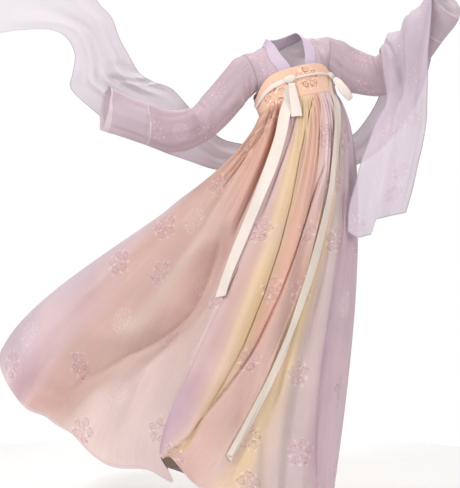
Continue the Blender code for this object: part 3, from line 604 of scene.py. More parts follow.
def closed_curve(angles, rows, at):
    """A smooth closed curve through rows given at angles, read at any angles in degrees."""
    knots = np.concatenate([angles[-2:] - 360.0, angles, angles[:2] + 360.0])
    values = np.concatenate([rows[-2:], rows, rows[:2]])
    at = np.mod(np.asarray(at, dtype=float) - angles[0], 360.0) + angles[0]
    k = np.clip(np.searchsorted(knots, at, side="right") - 1, 1, len(knots) - 3)
    span = (knots[k + 1] - knots[k])[:, None]
    t = (at - knots[k])[:, None] / span
    slope = (values[k + 1] - values[k - 1]) / (knots[k + 1] - knots[k - 1])[:, None] * span
    slope_next = (values[k + 2] - values[k]) / (knots[k + 2] - knots[k])[:, None] * span
    go = 3 * t ** 2 - 2 * t ** 3
    return ((1 - go) * values[k] + go * values[k + 1]
            + (t ** 3 - 2 * t ** 2 + t) * slope + (t ** 3 - t ** 2) * slope_next)


def skirt_base(turn, down):
    """The skirt without its pleats: turn in degrees, down from 0 at the band to 1 at the hem."""
    turn = np.asarray(turn, dtype=float)
    down = np.asarray(down, dtype=float)[:, None]
    table = np.array(SKIRT_FOLDS, dtype=float)
    folds = closed_curve(table[:, 0], table[:, 1:7] * CM, turn)
    mid, hem = folds[:, 0:3], folds[:, 3:6]
    start = chest_ring(np.radians(turn), np.full_like(turn, BAND_BOTTOM - SEAM), 0.0)
    centre = body_point(CHEST_SHIFT, 0.0, BAND_BOTTOM)
    heading = (start - centre) * SKIRT_OUT - UP * SKIRT_DOWN + (mid - start) * SKIRT_ON
    second = start + unit(heading) * SKIRT_START
    third = (8 * mid - start - 3 * second - hem) / 3
    return ((1 - down) ** 3 * start + 3 * down * (1 - down) ** 2 * second
            + 3 * down ** 2 * (1 - down) * third + down ** 3 * hem)


def one_degree(turn, down):
    """The way from half a degree before each point of the skirt to half a degree past it."""
    return skirt_base(turn + 0.5, down) - skirt_base(turn - 0.5, down)


def skirt_normal(turn, down):
    above, below = (np.clip(down + step, 0.0, 1.0) for step in (-DOWN_STEP, DOWN_STEP))
    return unit(np.cross(one_degree(turn, down), skirt_base(turn, below) - skirt_base(turn, above)))


def pleat_depth(turn, down):
    table = np.array(SKIRT_FOLDS, dtype=float)
    share = closed_curve(table[:, 0], table[:, 7:8], turn)[:, 0]
    return PLEAT_AT_BAND + (PLEAT_AT_HEM * share - PLEAT_AT_BAND) * down ** PLEAT_GROWTH


def fade_between(value, start, end):
    share = np.clip((value - start) / (end - start), 0.0, 1.0)
    return share * share * (3 - 2 * share)


def beside_crease(route, turn, down):
    """How many degrees each point lies beside a crease, and where the crease starts and ends."""
    turns, downs = np.array(route[0::2], dtype=float), np.array(route[1::2])
    away = np.mod(turn - np.interp(down, downs, turns) + 180.0, 360.0) - 180.0
    return away, downs[0], downs[-1]


def creases_at(turn, down):
    """How far the listed creases move the cloth out, and along towards a fold's edge."""
    out, over = np.zeros_like(turn), np.zeros_like(turn)
    for depth, low_side, high_side, lean, *route in CREASES:
        away, start, end = beside_crease(route, turn, down)
        ends = fade_between(down, start, start + 0.08)
        if end < NEAR_HEM:
            ends = ends * (1.0 - fade_between(down, end - 0.06, end + 0.03))
        bump = np.exp(-(away / np.where(away < 0, low_side, high_side)) ** 2) * ends * MM
        out, over = out + depth * bump, over + lean * bump
    degree = np.linalg.norm(one_degree(turn, down), axis=-1) / MM
    for depth, half, *route in FOLD_LINES:
        away, start, end = beside_crease(route, turn, down)
        ends = fade_between(down, start - 0.001, start + 0.02)
        if end < NEAR_HEM:
            ends = ends * (1.0 - fade_between(down, end - 0.12, end))
        out = out + depth * MM * np.exp(-(away * degree / half) ** 2) * ends
    return out, over


def swaying(radians, down, rows):
    return sum(reach * np.sin(times * radians + start + lean * down) for reach, times, start, lean in rows)


def skirt_out(turn, down):
    """Main pleats, uneven from one to the next, and fine pleats that fade below the band."""
    radians = np.radians(turn)
    sway = swaying(radians, down, PLEAT_SWAY) * fade_between(down, 0.05, 0.4)
    uneven = 0.72 + 0.28 * np.sin(5 * radians + 1.3) * np.sin(11 * radians)
    calm = 1.0 - 0.45 * fade_between(down, 0.3, 0.9)
    depth = pleat_depth(turn, down) * np.clip(down / PLEATS_BEGIN, 0.0, 1.0)
    main = np.cos(PLEATS * radians + sway) * uneven * depth * calm
    on_wing = fade_between(turn, 126.0, 150.0) * (1.0 - fade_between(turn, 170.0, 200.0))
    swept = radians - np.radians(WING_SWEEP * on_wing) * fade_between(down, 0.0, 0.14)
    phase = FINE_PLEATS * swept + swaying(radians, down, FINE_SWAY)
    fine = (np.cos(phase) + 0.3 * np.sin(2 * phase)) * (0.75 + 0.25 * np.sin(13 * radians))
    below_band = fade_between(down, 0.0, 0.03) * (1.0 - fade_between(down, 0.10, 0.38))
    fine = fine * (FINE_DEPTH * below_band + FINE_LEFT) * fade_between(down, 0.0, 0.02)
    creases, over = creases_at(turn, down)
    return main + fine + creases, over


SALMON, SAND, PINK = dye(222, 175, 157), dye(228, 200, 166), dye(224, 196, 197)
MAUVE, LAVENDER, PALE = dye(214, 186, 197), dye(217, 195, 206), dye(226, 205, 203)
ROSE, MUSTARD, GREY = dye(214, 178, 170), dye(206, 174, 136), dye(204, 184, 184)
BEIGE, TAN, PEACH = dye(227, 204, 199), dye(216, 187, 177), dye(231, 191, 171)
# RUST_FOLD_SHADE is painted shade: a dark reddish salmon laid in fold valleys, beside the right tail and
# along the diagonal pleats below the band.
RUST_FOLD_SHADE, VIOLET = dye(211, 152, 130), dye(197, 165, 181)
STRIPE_DOWNS = (0.0, 0.2, 0.4, 0.6, 0.8, 1.0)
SKIRT_STRIPES = [
    # the turn where the stripe begins, at six places down the skirt, or once where it runs
    # straight down; then its colours from top to hem: dyes, with painted fold shade where marked
    ((0,), LAVENDER, MAUVE, MAUVE),
    ((22, 22, 22, 22, 20, 20), LAVENDER, MAUVE, MAUVE),
    ((38, 42, 44, 46, 44, 42), GREY, VIOLET, VIOLET),
    ((45, 48, 51, 53, 51, 50), GREY, GREY, GREY),
    ((50, 55.5, 60, 67, 79, 92), SAND, SAND, SAND),
    ((55, 61.5, 66, 75, 89, 101), LAVENDER, MUSTARD, TAN),
    ((60, 65, 70, 79, 94, 105), PINK, ROSE, ROSE),
    ((74, 76, 80, 89, 102.5, 110.5), SALMON, SALMON, ROSE),
    # its MUSTARD at mid-skirt is painted shade: the darker colour deep in the fold beside the sand
    ((83, 93, 91.5, 94, 102.6, 110.6), SAND, MUSTARD, MUSTARD),
    ((95, 101, 98, 100, 105.0, 111.8), SAND, SAND, TAN),
    ((106, 108, 103, 104, 107.4, 112.8), PINK, ROSE, VIOLET),
    ((111, 112.5, 110, 111.5, 114, 116), PINK, PINK, PALE),
    ((114, 117, 118, 118, 118, 118), PINK, TAN, PALE),
    ((121, 122, 122, 124, 124, 124), TAN, ROSE, PALE),
    # painted shade: the dark valley between the right tail and the ridge to its left
    ((130, 127.5, 127, 130, 130, 130), RUST_FOLD_SHADE, ROSE, PALE),
    ((136, 133.5, 133, 136, 136, 136), SALMON, ROSE, BEIGE),
    ((144, 148, 144, 146, 147, 148), PEACH, TAN, TAN),
    # painted shade along the dark diagonal pleat lines below the band
    ((148.5, 159, 150, 153, 156, 158), RUST_FOLD_SHADE, ROSE, ROSE),
    ((151.5, 162, 153, 156, 159, 161), PEACH, ROSE, ROSE),
    ((164, 172, 166, 164, 164, 165), SALMON, ROSE, MAUVE),
    ((178, 180, 177, 174, 173, 173), PEACH, LAVENDER, LAVENDER),
    ((190,), PINK, PINK, MAUVE),
    ((212,), SALMON, PEACH, BEIGE),
    ((232,), SAND, SAND, SAND),
    ((246,), PINK, PINK, PALE),
    ((268,), SALMON, ROSE, ROSE),
    ((286,), SAND, MUSTARD, MUSTARD),
    ((300,), PINK, PALE, PALE),
    ((322,), PEACH, TAN, BEIGE),
    ((342,), LAVENDER, MAUVE, MAUVE),
]
SKIRT_SILK = woven_cloth(
    "dyed_and_fold_shaded_skirt_silk", PEACH, flower=dye(178, 128, 132), pale_dots=dye(246, 232, 228), tint=dye(214, 184, 200),
    strength=0.60, sheen=0.3, rough=0.7, wrinkle=0.0012, hem=(0.012, dye(222, 200, 202), 1.0),
    stripe_dyes_and_shade=[row[1:] for row in SKIRT_STRIPES])
SKIRT_FLOWER_RADIUS = 0.046
SKIRT_FLOWERS = [
    # turn, down, kind
    (172.5, 0.545, 0), (155.5, 0.48, 0), (134, 0.465, 1), (116, 0.51, 0), (135, 0.595, 0), (158.5, 0.765, 0),
    (144.5, 0.905, 0), (123, 0.82, 0), (108.5, 0.935, 0), (174, 0.94, 0), (163.5, 0.255, 0), (171, 0.415, 0),
    (171.5, 0.135, 0), (71, 0.155, 0), (41, 0.165, 0), (59, 0.27, 0), (108.5, 0.365, 0), (53, 0.39, 0),
    (79, 0.37, 0), (91, 0.49, 0), (73, 0.49, 0), (92.5, 0.63, 0), (65.5, 0.65, 0), (25, 0.69, 0),
    (87, 0.795, 0), (57.5, 0.82, 0), (86, 0.92, 0), (155, 0.605, 1), (175, 0.835, 1), (140.5, 0.74, 1),
    (160, 0.355, 1), (15, 0.40, 0), (30, 0.52, 1), (10, 0.88, 0), (40, 0.93, 1),
]


def back_flowers():
    """The same flowers over the back of the skirt, each row set between those of the next."""
    places = []
    for row, down in enumerate(np.arange(0.14, 0.98, 0.135)):
        step = 44.0 - 24.0 * down
        for n, turn in enumerate(np.arange(192.0 + (row % 2) * step / 2, 356.0, step)):
            places.append((turn, down, (n + row) % 3 == 2))
    return places


def stripe_places(turns, downs):
    """Which stripe a place lies in, as a share of all of them: the stripes widen and lean."""
    starts = [np.broadcast_to(row[0], len(STRIPE_DOWNS)) for row in SKIRT_STRIPES + [((360.0,),)]]
    count = len(SKIRT_STRIPES)
    places = []
    for down in downs:
        edges = [np.interp(down, STRIPE_DOWNS, row) for row in starts]
        places.append(np.interp(turns, edges, np.arange(count + 1)) / count)
    return np.stack([np.array(places), downs[:, None] + 0 * turns[None, :]], axis=-1)


def make_skirt():
    columns = PANELS * PANEL_COLUMNS
    turns = np.arange(columns + 1) * 360.0 / columns
    downs = np.linspace(0.0, 1.0, SKIRT_ROWS) ** 1.15
    ring = []
    for down in downs:
        at = np.full(columns + 1, down)
        out, over = skirt_out(turns, at)
        onward = unit(one_degree(turns, at))
        ring.append(skirt_base(turns, at) + skirt_normal(turns, at) * out[:, None] + onward * over[:, None])
    ring = np.array(ring)
    normals = facing_out(ring[:, :-1], True)
    normals = np.concatenate([normals, normals[:, :1]], axis=1)
    along, down_lengths = cloth_lengths(ring)
    spots = [(np.interp(down, downs, np.linspace(0.0, 1.0, SKIRT_ROWS)), turn / 360.0, kind)
             for turn, down, kind in SKIRT_FLOWERS + back_flowers()]
    flowers = flower_places(along, down_lengths, spots, SKIRT_FLOWER_RADIUS)
    dyes = stripe_places(turns, downs)
    for panel in range(1, PANELS + 1):
        first, last = (panel - 1) * PANEL_COLUMNS, panel * PANEL_COLUMNS
        cloth_piece(
            f"skirt_panel_{panel}_silk", ring[:, first:last + 1], SKIRT_SILK, f"skirt_panel_{panel}",
            flowers=flowers[:, first:last], dyes=dyes[:, first:last + 1],
            normals=normals[:, first:last + 1], hems="bottom")


make_skirt()


# The jacket: two fronts and a back of sheer lavender silk, sewn at the shoulders and down
# the sides, and tucked into the band. A straight violet collar, folded double, is sewn
# along both front edges and round the neck.
JACKET = [
    # collar edge, collar seam, middle and outer edge as across, front and up in cm, and the
    # angle on the armhole where the outer edge lies on it
    ((1.3, 8.6, -33), (5.0, 7.8, -33), (8.0, 6.2, -33), (10.8, -0.3, -33), None),
    ((1.2, 8.8, -27), (5.0, 8.0, -27), (8.2, 6.2, -27), (11.0, -0.3, -27), None),
    ((1.2, 9.2, -20), (5.0, 8.4, -20), (8.5, 6.5, -20), (11.6, -0.3, -20), None),
    ((1.6, 9.4, -14), (5.4, 8.6, -13.8), (8.6, 6.7, -13.4), None, 176),
    ((2.6, 9.3, -9), (6.6, 8.0, -9), (9.4, 6.2, -9), None, 130),
    ((4.0, 6.6, -4), (8.0, 5.8, -4.5), (10.6, 4.6, -4.6), None, 75),
    ((4.9, 3.6, 1.2), (7.6, 3.0, 0), (10.8, 2.6, -0.6), None, 32),
    ((5.2, 0.4, 4.0), (7.2, -0.2, 1.8), (10.8, -0.2, 1.0), None, 0),
    ((4.5, -2.4, 4.8), (6.6, -3.4, 2.2), (10.6, -3.2, 0.8), None, -32),
    ((2.8, -4.4, 5.0), (4.0, -5.6, 2.2), (9.2, -6.0, 0.0), None, -60),
    ((0.015, -5.2, 5.0), (0.015, -6.8, 1.4), (7.8, -7.8, -2.0), None, -85),
    (None, (0.015, -8.6, -6), (7.4, -8.6, -7), None, -125),
    (None, (0.015, -9.2, -13.4), (7.2, -7.8, -13.4), None, -176),
    (None, (0.015, -9.0, -20), (7.0, -7.4, -20), (11.6, -0.5, -20), None),
    (None, (0.015, -8.6, -27), (6.6, -7.0, -27), (11.0, -0.5, -27), None),
    (None, (0.015, -8.5, -33), (6.5, -6.9, -33), (10.8, -0.5, -33), None),
]
NECK_ROW = 10
FRONT_ROWS = 91
BACK_ROWS = 46
JACKET_COLUMNS = 36
JACKET_DRAPE = 0.0020
COLLAR_COLUMNS = 12
COLLAR_THICKNESS = 0.0018
ARMHOLE_ACROSS = 0.1325
ARMHOLE_SLOPE = 0.0145   # its top reaches further out than its bottom
ARMHOLE_FRONT = -0.004
ARMHOLE_UP = -0.056
ARMHOLE_HALF_HEIGHT = 0.062
ARMHOLE_HALF_DEPTH = 0.052
ARMHOLE_BOTTOM = ARMHOLE_UP - ARMHOLE_HALF_HEIGHT


def sheer_silk(name, trims=()):
    return woven_cloth(
        name, dye(206, 180, 192), opacity=0.78, flower=dye(206, 150, 160), pale_dots=dye(250, 236, 234),
        tint=dye(214, 186, 196), strength=0.4, sheen=0.2, rough=0.6, wrinkle=0.0016, trims=trims)


SHEER_SILK = sheer_silk("sheer_jacket_silk")
COLLAR_SILK = woven_cloth(
    "violet_collar_silk", dye(208, 188, 208), opacity=0.94, sheen=0.3, rough=0.6, wrinkle=0.0010)
SHEER_FLOWER_RADIUS = 0.031
JACKET_FLOWERS = {
    # way from the front hem to the back hem, way across from the photo's left, kind
    "jacket_right": [(0.375, 0.5, 0), (0.255, 0.45, 0), (0.62, 0.4, 0), (0.75, 0.7, 0), (0.85, 0.3, 0)],
    "jacket_left": [(0.33, 0.12, 1), (0.62, 0.6, 0), (0.75, 0.3, 0), (0.85, 0.7, 0)],
}


def curve_through(rows, at):
    """A smooth curve through the rows, read at places from 0 to 1."""
    rows = np.asarray(rows, dtype=float)
    at = np.atleast_1d(np.asarray(at, dtype=float)) * (len(rows) - 1)
    start = np.clip(np.floor(at).astype(int), 0, len(rows) - 2)
    t = (at - start).reshape((-1,) + (1,) * (rows.ndim - 1))
    padded = np.concatenate([[2 * rows[0] - rows[1]], rows, [2 * rows[-1] - rows[-2]]])
    p0, p1, p2, p3 = (padded[start + k] for k in range(4))
    bend = 2 * p0 - 5 * p1 + 4 * p2 - p3
    twist = 3 * p1 - p0 - 3 * p2 + p3
    return 0.5 * (2 * p1 + (p2 - p0) * t + bend * t ** 2 + twist * t ** 3)


def armhole(angle, side):
    """A point of the armhole, as across, front and up; 0 degrees is on top, 90 in front."""
    angle = np.radians(angle)
    across = ARMHOLE_ACROSS + ARMHOLE_SLOPE * np.cos(angle)
    front = ARMHOLE_FRONT + ARMHOLE_HALF_DEPTH * np.sin(angle)
    up = ARMHOLE_UP + ARMHOLE_HALF_HEIGHT * np.cos(angle)
    return np.stack([side * across, front, up], axis=-1)


def armhole_facing(side):
    slope = ARMHOLE_SLOPE / ARMHOLE_HALF_HEIGHT
    sway = CHEST_SHIFT / ARMHOLE_BOTTOM
    return unit(ACROSS * side - UP * (slope + side * sway))


def jacket_place(points):
    """Places for points given as across, front and up, shifted with the band on the way down."""
    share = np.clip(points[..., 2] / ARMHOLE_BOTTOM, 0.0, 1.0)
    return body_point(points[..., 0] + CHEST_SHIFT * share, points[..., 1], points[..., 2])


def jacket_half(side):
    """A jacket half as across, front and up: rows of points, and its collar strip."""
    collar, body, angles = [], [], []
    mirror = np.array([side, 1.0, 1.0]) * CM
    for row, (free, seam, middle, outer, angle) in enumerate(JACKET):
        if free is not None:
            collar.append([np.array(free) * mirror, np.array(seam) * mirror])
        if angle is not None:
            angles.append((row, angle))
        edge = armhole(angle, side) if outer is None else np.array(outer) * mirror
        body.append([np.array(seam) * mirror, np.array(middle) * mirror, edge])
    body, angles = np.array(body), np.array(angles)
    front = curve_through(body[:NECK_ROW + 1], np.linspace(0.0, 1.0, FRONT_ROWS))
    back = curve_through(body[NECK_ROW:], np.linspace(0.0, 1.0, BACK_ROWS))
    rows = np.concatenate([front, back[1:]])
    at = np.linspace(0.0, len(body) - 1, len(rows))
    seam = np.stack([np.interp(at, np.arange(len(body)), body[:, 2, k]) for k in range(3)], axis=-1)
    hole = armhole(np.interp(at, angles[:, 0], angles[:, 1]), side)
    in_hole = (at >= angles[0, 0]) & (at <= angles[-1, 0])
    rows[:, 2] = np.where(in_hole[:, None], hole, seam)
    across = curve_through(np.swapaxes(rows, 0, 1), np.linspace(0.0, 1.0, JACKET_COLUMNS))
    grid = np.swapaxes(across, 0, 1)
    grid[..., 0] = side * np.maximum(side * grid[..., 0], SEAM / 2)
    strip = curve_through(np.array(collar), np.linspace(0.0, 1.0, FRONT_ROWS))
    strip[:, 1] = grid[:FRONT_ROWS, 0]
    return grid, strip, in_hole


def jacket_wave(way, out, side, in_hole):
    """Gathers at the armhole and a soft drape over the half, in metres."""
    uneven = 0.5 + 0.5 * np.sin(way * 23.0 + side)
    gathers = np.sin(way * 140.0 + 3.0 * out + np.sin(way * 31.0)) * out ** 4 * uneven * in_hole[:, None]
    drape = np.sin(math.pi * out) * np.sin(way * 42.0 + 9.0 * out)
    inside = (1.0 - fade_between(out, 0.93, 1.0)) * fade_between(out, 0.0, 0.2)
    return JACKET_DRAPE * (gathers + drape) * inside


def make_jacket():
    strips = []
    for side, name in ((-1.0, "jacket_right"), (1.0, "jacket_left")):
        grid, strip, in_hole = jacket_half(side)
        strips.append(strip)
        grid = jacket_place(grid)
        way = np.linspace(0.0, 1.0, len(grid))[:, None]
        out = np.linspace(0.0, 1.0, JACKET_COLUMNS)[None, :]
        wave = jacket_wave(way, out, side, in_hole)
        if side < 0:
            grid, wave = grid[:, ::-1], wave[:, ::-1]
        grid = grid + facing_out(grid) * wave[..., None]
        flowers = flower_places(*cloth_lengths(grid), JACKET_FLOWERS[name], SHEER_FLOWER_RADIUS)
        cloth_piece(f"{name}_silk", grid, SHEER_SILK, name, flowers=flowers)
    right, left = strips
    strip = np.concatenate([right, left[-2::-1]])
    free, seam = jacket_place(strip[:, 0]), jacket_place(strip[:, 1])
    seam += unit(free - seam) * 2 * SEAM
    share = np.linspace(0.0, 1.0, COLLAR_COLUMNS)[None, :, None]
    grid = seam[:, None] * (1 - share) + free[:, None] * share
    cloth_piece("collar_silk", grid, COLLAR_SILK, "collar",
                thickness=COLLAR_THICKNESS)


make_jacket()


# The sleeves: straight tubes of the same sheer silk, gathered a little into the armholes,
# each ending in a separate cuff panel with a narrow pale trim woven along its edge. They
# crumple where they bend.
SLEEVE_RIGHT = [
    # x, y, z, half height, lean in degrees, half depth
    (-15.0, -5.0, -12.0, 6.4, -24, 5.2),
    (-19.1, -6.0, -17.1, 5.9, -42, 4.9),
    (-22.9, -8.0, -21.3, 5.8, -45, 4.7),
    (-27.0, -10.0, -24.7, 5.9, -33, 4.8),
    (-32.5, -12.0, -27.1, 6.4, -17, 4.8),
    (-38.0, -14.0, -27.6, 6.7, -10, 4.6),
    (-43.2, -16.5, -26.1, 6.5, -1, 4.5),
    (-48.7, -19.0, -24.2, 6.4, 5, 4.4),
    (-55.4, -22.0, -21.5, 6.8, 10, 4.3),
]
SLEEVE_LEFT = [
    (19.4, 3.5, -5.7, 7.6, -2, 5.0),
    (23.9, 4.0, -7.2, 7.3, -4, 4.9),
    (28.6, 3.0, -8.3, 6.8, -10, 4.9),
    (32.5, 2.0, -7.6, 6.5, -17, 4.9),
    (36.2, 0.0, -5.1, 6.5, -29, 4.8),
    (40.2, -3.0, -1.1, 6.4, -40, 4.6),
    (44.5, -7.0, 4.6, 6.1, -50, 4.4),
    (47.8, -11.0, 8.6, 5.9, -52, 4.3),
    (49.4, -14.0, 11.7, 5.6, -56, 4.2),
]
SLEEVE_POINTS = 132
SLEEVE_ROWS = 120
CUFF_SHARE = 0.78        # the cuff panel begins this far along the sleeve
SLEEVE_FOLD = 0.0035     # depth of the soft folds, their number round the sleeve and their twist
SLEEVE_FOLDS = 3
SLEEVE_TWIST = 9.0
CREASE_TILT = 0.02       # how far along the sleeve a crease's two ends lie apart
ARMHOLE_PUCKERS = 19     # small gathers round the armhole, and their depth on each side
PUCKER_DEPTH = {"right": 0.0011, "left": 0.0024}
CUFF_WAVES = [
    # depth, waves round, start, what the side adds to it, way along where the waves begin
    (0.0045, 3, 0.0, 0.8, 0.93),
    (0.0025, 7, 2.0, 0.0, 0.95),
]
SLEEVE_CREASES = {
    # way along, way round in degrees, length along, length round, depth in mm
    "right": [
        (0.40, 300, 0.035, 70, -7), (0.46, 290, 0.030, 60, -6), (0.34, 310, 0.028, 60, -5),
        (0.44, 60, 0.030, 60, -5), (0.30, 240, 0.10, 16, 4), (0.62, 225, 0.16, 14, 3),
        (0.52, 200, 0.12, 18, -3), (0.08, 20, 0.05, 40, 5), (0.10, 60, 0.05, 30, -4),
        (0.72, 130, 0.12, 14, 3), (0.90, 250, 0.10, 14, 3), (0.93, 60, 0.09, 16, -3),
        (0.40, 60, 0.014, 45, -5), (0.47, 75, 0.014, 55, -5), (0.505, 60, 0.016, 40, 4),
        (0.36, 75, 0.015, 45, -4), (0.43, 110, 0.012, 30, 4), (0.62, 55, 0.22, 8, -4),
        (0.60, 150, 0.22, 9, -5), (0.64, 100, 0.20, 11, 4), (0.24, 100, 0.12, 10, -4),
        (0.20, 50, 0.12, 10, 4), (0.28, 140, 0.10, 10, -4), (0.86, 45, 0.13, 8, -4),
        (0.90, 95, 0.13, 10, 4), (0.88, 140, 0.12, 9, -5), (0.06, 140, 0.020, 40, -5),
        (0.10, 130, 0.018, 35, -4), (0.14, 150, 0.020, 30, 4), (0.79, 90, 0.010, 40, -3),
    ],
    "left": [
        (0.40, 60, 0.028, 80, -9), (0.46, 50, 0.026, 60, 6), (0.35, 80, 0.025, 60, -6),
        (0.50, 90, 0.030, 60, -5), (0.10, 10, 0.04, 30, 6), (0.13, 50, 0.05, 20, -5),
        (0.07, 90, 0.04, 18, 4), (0.22, 30, 0.10, 14, 3), (0.28, 120, 0.10, 14, -3),
        (0.60, 300, 0.10, 16, 4), (0.72, 90, 0.10, 18, -4), (0.90, 40, 0.09, 16, 3),
        (0.62, 100, 0.20, 9, -4), (0.70, 55, 0.20, 9, 4), (0.18, 110, 0.10, 10, -4),
        (0.25, 60, 0.10, 10, 4), (0.30, 140, 0.08, 12, -5), (0.42, 90, 0.012, 45, -5),
        (0.37, 80, 0.012, 45, 4), (0.06, 120, 0.018, 30, -5), (0.11, 110, 0.018, 30, -4),
    ],
}
SLEEVE_FLOWERS = {
    # way along, way round, kind
    "right": [(0.745, 0.706, 0), (0.595, 0.711, 1), (0.46, 0.628, 0), (0.24, 0.85, 0), (0.20, 0.40, 0),
              (0.45, 0.2, 0), (0.66, 0.3, 0), (0.55, 0.96, 1), (0.10, 0.6, 0)],
    "left": [(0.23, 0.15, 0), (0.26, 0.367, 0), (0.68, 0.244, 0), (0.15, 0.65, 0), (0.42, 0.55, 0),
             (0.45, 0.85, 0), (0.66, 0.7, 0), (0.6, 0.0, 1)],
}
TRIM_PALE = dye(232, 214, 222)
SEAM_TRIM = 0.0035       # width of the pale trim at the cuff's seam and at its edge
EDGE_TRIM = 0.010
SLEEVE_SILK = sheer_silk("sheer_sleeve_silk", trims=((0.0, 0.0018, dye(150, 124, 140), 0.95),))


def sleeve_folds(side, word, angle, way):
    """How far the sleeve's cloth stands out from its plain tube, in metres."""
    turn = np.radians(angle)
    fold = np.sin(SLEEVE_FOLDS * turn + SLEEVE_TWIST * way) * np.sin(math.pi * way) * SLEEVE_FOLD
    for where, round_at, length, reach, depth in SLEEVE_CREASES[word]:
        away = (np.mod(angle - round_at + 180.0, 360.0) - 180.0) / reach
        tilt = way - where - CREASE_TILT * away
        fold = fold + depth * MM * np.exp(-(tilt / length) ** 2 - away ** 2)
    for depth, waves, start, by_side, begins in CUFF_WAVES:
        wave = np.sin(waves * turn + start + by_side * side)
        fold = fold + depth * wave * fade_between(way, begins, 1.0)
    near_armhole = fade_between(way, 0.0, 0.02) * (1 - fade_between(way, 0.02, 0.14))
    uneven = 0.4 + 0.4 * np.cos(turn - 0.5) + 0.2 * np.sin(7 * turn)
    puckers = np.sin(ARMHOLE_PUCKERS * turn + 1.5 * np.sin(5 * turn)) * near_armhole * uneven
    return fold * fade_between(way, 0.0, 0.03) + PUCKER_DEPTH[word] * puckers


def sleeve_rings(side, word, table, at):
    """Rings of a sleeve at places from 0 at the armhole to 1 at the cuff's edge."""
    angle = np.linspace(0.0, 360.0, SLEEVE_POINTS, endpoint=False)
    table = np.array(table)
    first = jacket_place(armhole(angle, side))
    first += armhole_facing(side) * SEAM
    centres = np.concatenate([[first.mean(axis=0)], table[:, 0:3] * CM])
    heading = unit(np.gradient(centres, axis=0))
    turn = np.radians(angle)[:, None]
    rings = [first]
    for row, centre, ahead in zip(table, centres[1:], heading[1:]):
        lean = math.radians(row[4])
        top = np.array([math.sin(lean), 0.0, math.cos(lean)])
        front = unit(np.cross(top, ahead))
        if front[1] > 0:
            front = -front
        rings.append(centre + np.cos(turn) * top * row[3] * CM + np.sin(turn) * front * row[5] * CM)
    rings = curve_through(np.array(rings), at)
    outward = unit(rings - rings.mean(axis=1, keepdims=True))
    return rings + outward * sleeve_folds(side, word, angle[None, :], at[:, None])[..., None]


def make_sleeves():
    for side, word, table in ((-1.0, "right", SLEEVE_RIGHT), (1.0, "left", SLEEVE_LEFT)):
        whole = sleeve_rings(side, word, table, np.linspace(0.0, 1.0, SLEEVE_ROWS))
        if side < 0:
            whole = whole[:, ::-1]
        split = int(round(CUFF_SHARE * (SLEEVE_ROWS - 1)))
        wrapped = np.concatenate([whole, whole[:, :1]], axis=1)
        flowers = flower_places(*cloth_lengths(wrapped), SLEEVE_FLOWERS[word], SHEER_FLOWER_RADIUS)
        cuff = whole[split:].copy()
        cuff[0] += unit(cuff[1] - cuff[0]) * SEAM
        length = float(cloth_lengths(cuff)[1][-1].mean())
        seam_trim = (0.0, SEAM_TRIM, TRIM_PALE, 0.85)
        edge_trim = (length - EDGE_TRIM, length + EDGE_TRIM, TRIM_PALE, 0.9)
        cuff_silk = woven_cloth(
            f"cuff_silk_{word}", dye(214, 192, 204), opacity=0.76, sheen=0.2, rough=0.6, wrinkle=0.0014,
            trims=(seam_trim, edge_trim))
        cloth_piece(f"sleeve_{word}_silk", whole[:split + 1], SLEEVE_SILK, f"sleeve_{word}",
                    closed=True, flowers=flowers[:split])
        cloth_piece(f"cuff_{word}_silk", cuff, cuff_silk, f"cuff_{word}", closed=True)


make_sleeves()


# The shawl: one long strip of very thin silk with rolled edges. It flies out past the right
# cuff, passes behind the skirt and is laid over the left sleeve, from where it hangs.
SHAWL = [
    # edge x, y, z, edge x, y, z
    (-104.5, -6, 9.5, -79.0, -6, 39.5),
    (-93.0, -7, 4.0, -69.0, -7, 27.0),
    (-83.0, -8, 4.5, -63.0, -8, 19.5),
    (-74.5, -9, 4.5, -58.5, -9, 12.5),
    (-69.0, -10, 2.0, -54.5, -10, 8.0),
    (-66.0, -11, -3.5, -52.0, -10, 1.5),
    (-66.5, -12, -9.5, -49.0, -10, -4.0),
    (-67.0, -12, -14.5, -46.0, -9, -9.0),
    (-61.0, -11, -20.5, -42.0, -7, -11.5),
    (-50.5, -8, -28.5, -36.0, -4, -13.5),
    (-40.0, -3, -33.0, -31.0, 0, -18.5),
    (-30.5, 4, -36.0, -25.5, 7, -24.0),
    (-23.0, 12, -38.0, -20.0, 14, -28.0),
    (-13.0, 18, -39.5, -11.5, 18, -29.5),
    (-3.0, 20, -40.0, -2.5, 20, -30.0),
    (8.0, 20, -39.5, 8.0, 20, -29.5),
    (17.5, 17, -38.0, 17.5, 17, -28.0),
    (26.5, 15, -35.5, 23.0, 16, -26.5),
    (35.5, 12, -28.0, 28.0, 14, -20.5),
    (43.0, 8, -17.5, 31.5, 12, -13.5),
    (47.0, 3, -4.0, 31.5, 10, -7.0),
    (47.5, -3, 9.0, 31.0, 7, -1.5),
    (45.5, -10, 16.5, 30.5, 2.5, 0.5),
    (44.5, -17, 13.0, 30.0, -3.5, -1.5),
    (44.0, -19, 7.5, 30.0, -7, -5.5),
    (43.5, -19, 2.0, 30.5, -7.5, -10.0),
    (43.0, -18, -4.0, 31.5, -7.5, -15.5),
    (43.0, -17, -11.0, 31.0, -8, -20.0),
    (43.0, -16, -18.0, 28.0, -9, -25.0),
    (43.0, -15, -24.5, 25.5, -11, -31.0),
    (42.0, -14, -32.0, 23.0, -13, -36.5),
    (40.5, -13, -39.0, 21.0, -15, -43.0),
    (39.0, -12.5, -46.0, 19.0, -16, -49.5),
    (37.0, -12, -53.0, 18.5, -16, -57.0),
]
SHAWL_FOLDS = 2.5        # waves across the shawl's width
SHAWL_FOLD_DEPTH = 0.007
SHAWL_FOLD_AT_EDGE = 0.4
SHAWL_SWAY = 1.3         # how far the waves wander across, and how often along the shawl
SHAWL_SWAYS = 3.15
SHAWL_COLUMNS = 48
